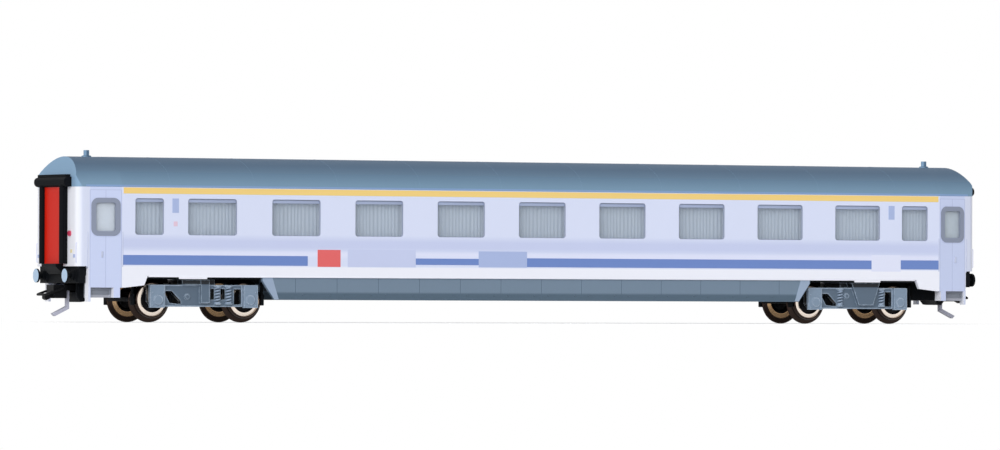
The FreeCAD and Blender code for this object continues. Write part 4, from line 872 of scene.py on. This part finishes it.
# The drawbar housings: two walls, a floor that rises towards the bogie, a ceiling, a back and the pin.
BACK, FRONT = 96.9, 105.4
LOW = [(BACK, RAIL + 4.55), (97.2, RAIL + 4.35), (102.9, RAIL + 4.3), (103.7, RAIL + 3.4),
       (104.5, RAIL + 3.3), (FRONT, RAIL + 4.5)]
INSIDE = 2.9                # half width between the walls
GROUND_TOP = RAIL + 5.4
# A loop's round bar: half width, x and height over the rail top where it starts and at its front.
LOOP_HALF, LOOP_START, LOOP_FRONT = 2.35, (108.0, RAIL + 6.2), (111.95, RAIL + 4.85)
guides = []
for letter, end in LETTERED_ENDS:
    wall = [(end * x, z) for x, z in [(BACK, FLOOR)] + LOW + [(FRONT, FLOOR)]]
    ground = [(end * x, z) for x, z in [(BACK, GROUND_TOP)] + LOW + [(FRONT, GROUND_TOP)]]
    guides += [slab(wall, side * 2.8, side * 3.4) for side in SIDES]
    guides += [slab(ground, -INSIDE, INSIDE),
               eased_block(end * BACK, end * FRONT, -INSIDE, INSIDE, RAIL + 7.2, FLOOR, 0.06),
               eased_block(end * BACK, end * 97.5, -INSIDE, INSIDE, RAIL + 5.2, FLOOR, 0.06),
               turned([(0.0, 0.7), (2.2, 0.7)], (end * 99.2, 0, RAIL + 5.2), (0, 0, 1), 24)]
    route = [(LOOP_START, -1), (LOOP_FRONT, -1), (LOOP_FRONT, 1), (LOOP_START, 1)]
    rods = [wire([(end * x, side * LOOP_HALF, z) for (x, z), side in route], 0.25, (0, 0, 1), 0.6, 12)]
    rods += [turned([(-0.8, 0.22), (0.0, 0.22), (0.08, 0.15)], (end * 108.3, side * 2.6, RAIL + 6.15),
                    (0, side, 0), 16) for side in SIDES]
    coupling = "coupling_" + letter
    thing = piece(coupling + "_round_loop", rods, coupling, "coupling_plastic")
    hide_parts(coupling + "_loop")
thing = piece("drawbar_housings", guides, "coach", "chassis_plastic")
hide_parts("coupling_guides")

# ---- apron and underside ------------------------------------------------------------------------
# Painted highlight: a thin pale plate on each slanted apron end, as light on a bevel.
END_HIGHLIGHT = [(66.22, 8.75), (66.22, 7.95), (63.5, 4.0), (62.5, 4.0), (64.0, 8.75)]
PANEL = WINDOW_PITCH / 2    # length of one apron panel
piece("apron_end_highlights", [slab([(end * x, RAIL + rise) for x, rise in END_HIGHLIGHT],
                                side * (APRON_FACE - 0.05), side * (APRON_FACE + 0.05), 0.04)
                           for end, side in CORNERS], "coach", "apron_end_painted_highlight")
seams = [eased_block(x - 0.06, x + 0.06, side * (APRON_FACE - 0.1), side * (APRON_FACE + 0.012),
                     RAIL + 4.0, RAIL + 8.6, 0.02) for x in (np.arange(13) - 6) * PANEL for side in SIDES]
piece("apron_seams", seams, "coach", "apron_seam_shadow", smooth=False)
latches = [x + u for x in (np.arange(12) - 5.5) * PANEL for u in (-3.2, 3.2)]
piece("apron_latches", [studs([(x, side * APRON_FACE, RAIL + 5.0) for x in latches], (0, side, 0), 0.2, 0.12)
                        for side in SIDES], "coach", "apron_plastic")
piece("solebars", [eased_block(end * 66.6, end * 93.0, side * 10.3, side * 10.8, RAIL + 8.15, FLOOR, 0.1)
                   for end, side in CORNERS], "coach", "chassis_plastic")
PIPE_ROUTE = [(-60.0, FLOOR), (-60.0, RAIL + 8.9), (60.0, RAIL + 8.9), (60.0, FLOOR)]
pipes = [wire([(x, side * 9.2, z) for x, z in PIPE_ROUTE], 0.25, (0, 1, 0), 0.4) for side in SIDES]
piece("underfloor_pipes", pipes, "coach", "chassis_plastic")

# ---- wheels -------------------------------------------------------------------------------------
# A tyre's closed outline, as distance from the wheel's back and radius: fine turned ridges up the back, then
# the flange, the tread, the rim edge and the ring sunk behind it.
RIDGES = [(0.035 * (k % 2), 2.6 + 0.075 * k) for k in range(24)]
TYRE = [(0.0, 2.54)] + RIDGES + [
    (0.0, 4.42), (0.1, 4.64), (0.28, 4.73), (0.45, 4.66), (0.58, 4.38), (0.68, 4.05), (0.86, 3.88), (1.1, 3.84),
    (2.02, 3.8), (2.16, 3.7), (2.2, 3.58), (2.2, 3.44), (2.1, 3.39), (1.9, 3.36), (1.96, 3.1), (2.02, 2.8),
    (2.03, 2.62), (1.97, 2.54)]
# A wheel centre's raised rings: distance from the wheel's back, radius.
CENTRE = [(0.6, 2.53), (0.66, 2.35), (0.6, 2.1), (0.6, 1.7), (0.7, 1.3), (1.5, 1.3), (1.62, 1.7), (1.58, 2.1),
          (1.7, 2.3), (1.6, 2.53)]
for letter, end in LETTERED_ENDS:
    for number, way in (("1", -1), ("2", 1)):
        x = end * PIVOT + way * WHEELBASE / 2
        body = "wheelset_" + letter + number
        backs = [((x, side * WHEEL_BACK, AXLE), (0, side, 0)) for side in SIDES]
        thing = piece(body + "_turned_tyres", [turned(TYRE, *back, 72, ring=True) for back in backs],
                      body, "turned_metal")
        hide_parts(body + "_tyres")
        piece(body + "_wheel_rings", [turned(CENTRE, *back, 48) for back in backs],
              body, "wheel_centre_plastic")

# ---- bogies -------------------------------------------------------------------------------------
# Coil springs in a bogie's own place: side, x.
SPRINGS = [(-1, 3.35), (-1, 5.9), (1, 4.2), (1, -6.3)]


def at_bogie(shape, end):
    """A shape made about a pivot at x = 0, turned half round for the +X bogie and moved to its pivot."""
    points, faces = shape
    flip = -end
    return points * np.array([flip, flip, 1]) + np.array([end * PIVOT, 0, 0]), faces


TRIM_BACK = 9.3             # how deep the trim on a side frame is set
BRAKE_REACH = 4.32          # a brake block's middle from its axle


def axle_box_trim(x, side):
    """A cap ring and four bolts on one axle box."""
    face = side * (FRAME_FACE + 0.7)
    cap = [(-0.1, 1.12), (0.1, 1.12), (0.16, 1.06), (0.16, 0.9)]
    places = [(x + 1.3 * u, face, AXLE + 1.55 * w) for u in (-1, 1) for w in (-0.75, 1)]
    return [turned(cap, (x, face, AXLE), (0, side, 0), 36), studs(places, (0, side, 0), 0.17, 0.16)]


for letter, end in LETTERED_ENDS:
    body = "bogie_" + letter
    boxes, trim, dark, springs = [], [], [], []
    for side in SIDES:
        for way in (-1, 1):
            axle_x = way * WHEELBASE / 2
            boxes += axle_box_trim(axle_x, side)
            for k in (-1, 1):
                x = axle_x + way * 0.15 + k * 1.85
                if abs(x) < 12.3:
                    trim.append(eased_block(x - 0.16, x + 0.16, side * TRIM_BACK, side * 9.75,
                                            RAIL + 2.5, RAIL + 6.95, 0.08))
            for k in (-1, 1):
                x = axle_x + k * BRAKE_REACH
                dark.append(eased_block(x - 0.34, x + 0.34, side * 5.95, side * 7.2,
                                        RAIL + 2.7, RAIL + 5.1, 0.15))
                dark.append(eased_block(x - 0.22, x + 0.22, side * 6.3, side * 6.9,
                                        RAIL + 4.4, RAIL + 7.6, 0.1))
        trim.append(eased_block(-12.4, 12.4, side * TRIM_BACK, side * 9.62, RAIL + 6.72, RAIL + 7.0, 0.08))
        trim.append(eased_block(-9.0, 9.0, side * TRIM_BACK, side * 9.6, RAIL + 2.4, RAIL + 2.68, 0.08))
    for side, x in SPRINGS:
        low, high = RAIL + 3.1, RAIL + 6.6
        springs.append(coil((x, side * (FRAME_FACE + 0.02)), 0.52, 0.17, low, high, 6.5))
        for z, up in ((low, 1), (high, -1)):
            trim.append(turned([(-0.2, 0.85), (0.0, 0.85), (0.1, 0.75)], (x, side * FRAME_FACE, z),
                               (0, 0, up), 24))
    for way in (-1, 1):
        for k in (-1, 1):
            x = way * WHEELBASE / 2 + k * BRAKE_REACH
            dark.append(eased_block(x - 0.3, x + 0.3, -7.0, 7.0, RAIL + 3.5, RAIL + 4.4, 0.15))
    # The frame trim takes the paler axle-box finish, as painted highlights on the frame's flanges and guides.
    for name, shapes, coat, slot in (("_box_covers", boxes, "axle_box_plastic", "axle_box_grey"),
                                     ("_frame_trim", trim, "axle_box_plastic", "axle_box_grey"),
                                     ("_brake_gear", dark, "bogie_shadow_plastic", "chassis_black"),
                                     ("_coil_springs", springs, "spring_paint", "spring_grey")):
        thing = piece(body + name, [at_bogie(shape, end) for shape in shapes], body, coat)
    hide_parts(body + "_springs")

# ---- floor, light and camera --------------------------------------------------------------------
FLOOR_HALF = 6.0            # metres, as are the lengths from here on
YAW, PITCH, ROLL = 27.59, 0.58, 0.204
EYE = (-0.75984, -1.44623, 0.00458)
TOWARD_LAMP = np.array([-0.85, -1.0, 0.42])


def seen_directly(tree):
    """One where the camera, a reflection or clear plastic looks at a surface, and nought for its light."""
    path = add(tree, "ShaderNodeLightPath").outputs
    either = math_node(tree, "MAXIMUM", path["Is Camera Ray"], path["Is Glossy Ray"])
    return math_node(tree, "MAXIMUM", either, path["Is Transmission Ray"])


def floor():
    """A pale floor that fades to a white surround."""
    x, y = np.meshgrid([-FLOOR_HALF, FLOOR_HALF], [-FLOOR_HALF, FLOOR_HALF])
    mesh = bpy.data.meshes.new("floor")
    mesh.from_pydata(np.stack([x.ravel(), y.ravel(), np.zeros(4)], -1).tolist(), [], [(0, 1, 3, 2)])
    thing = bpy.data.objects.new("floor", mesh)
    bpy.context.collection.objects.link(thing)
    tree, shader = material("floor_paper")
    shader.inputs["Base Color"].default_value = (0.86, 0.86, 0.86, 1)
    shader.inputs["Roughness"].default_value = 0.9
    shader.inputs["Specular IOR Level"].default_value = 0.1
    flat = add(tree, "ShaderNodeVectorMath", {0: object_place(tree), 1: (1.0, 2.2, 0.0)},
               operation="MULTIPLY").outputs[0]
    away = add(tree, "ShaderNodeVectorMath", {0: flat}, operation="LENGTH").outputs["Value"]
    seen = seen_directly(tree)
    glow = add(tree, "ShaderNodeEmission", {"Color": (1, 1, 1, 1), "Strength": 1.0})
    lift = add(tree, "ShaderNodeEmission", {"Color": (1, 1, 1, 1),
                                            "Strength": math_node(tree, "MULTIPLY", seen, 0.42)})
    lit = add(tree, "ShaderNodeAddShader", {0: shader.outputs[0], 1: lift.outputs[0]})
    white = math_node(tree, "MULTIPLY", ramp(tree, away, 0.112, 0.150), seen)
    mix = add(tree, "ShaderNodeMixShader", {0: white, 1: lit.outputs[0], 2: glow.outputs[0]})
    tree.links.new(mix.outputs[0], tree.nodes["Material Output"].inputs["Surface"])
    thing.data.materials.append(COAT["floor_paper"])


def light():
    """One broad soft lamp and an even sky."""
    world = bpy.data.worlds.new("surround")
    bpy.context.scene.world = world
    world.use_nodes = True
    tree = world.node_tree
    ground = tree.nodes["Background"]
    ground.inputs["Color"].default_value = (1, 1, 1, 1)
    tree.links.new(swung(tree, seen_directly(tree), 0.53, 0.47), ground.inputs["Strength"])

    lamp = bpy.data.lights.new("soft_lamp", "SUN")
    lamp.energy, lamp.angle = 2.2, math.radians(50)
    thing = bpy.data.objects.new("soft_lamp", lamp)
    z = unit(TOWARD_LAMP)
    x = unit(np.cross((0, 0, 1), z))
    thing.matrix_world = Matrix(np.c_[x, np.cross(z, x), z].tolist()).to_4x4()
    bpy.context.collection.objects.link(thing)


def camera():
    """A long lens low beside the coach, looking a little up."""
    yaw, pitch, roll = (math.radians(angle) for angle in (YAW, PITCH, ROLL))
    d = np.array([math.sin(yaw) * math.cos(pitch), math.cos(yaw) * math.cos(pitch), math.sin(pitch)])
    r = np.array([math.cos(yaw), -math.sin(yaw), 0.0])
    u = np.cross(r, d)
    right = math.cos(roll) * r + math.sin(roll) * u
    up = -math.sin(roll) * r + math.cos(roll) * u
    data = bpy.data.cameras.new("camera")
    data.sensor_width, data.lens = 36.0, 273.024
    data.clip_start, data.clip_end = 0.05, 30.0
    eye = bpy.data.objects.new("camera", data)
    turn = Matrix(np.c_[right, up, -d].tolist()).to_4x4()
    turn.translation = EYE
    eye.matrix_world = turn
    bpy.context.collection.objects.link(eye)
    bpy.context.scene.camera = eye


floor()
light()
camera()
bpy.context.scene.view_settings.view_transform = "Standard"
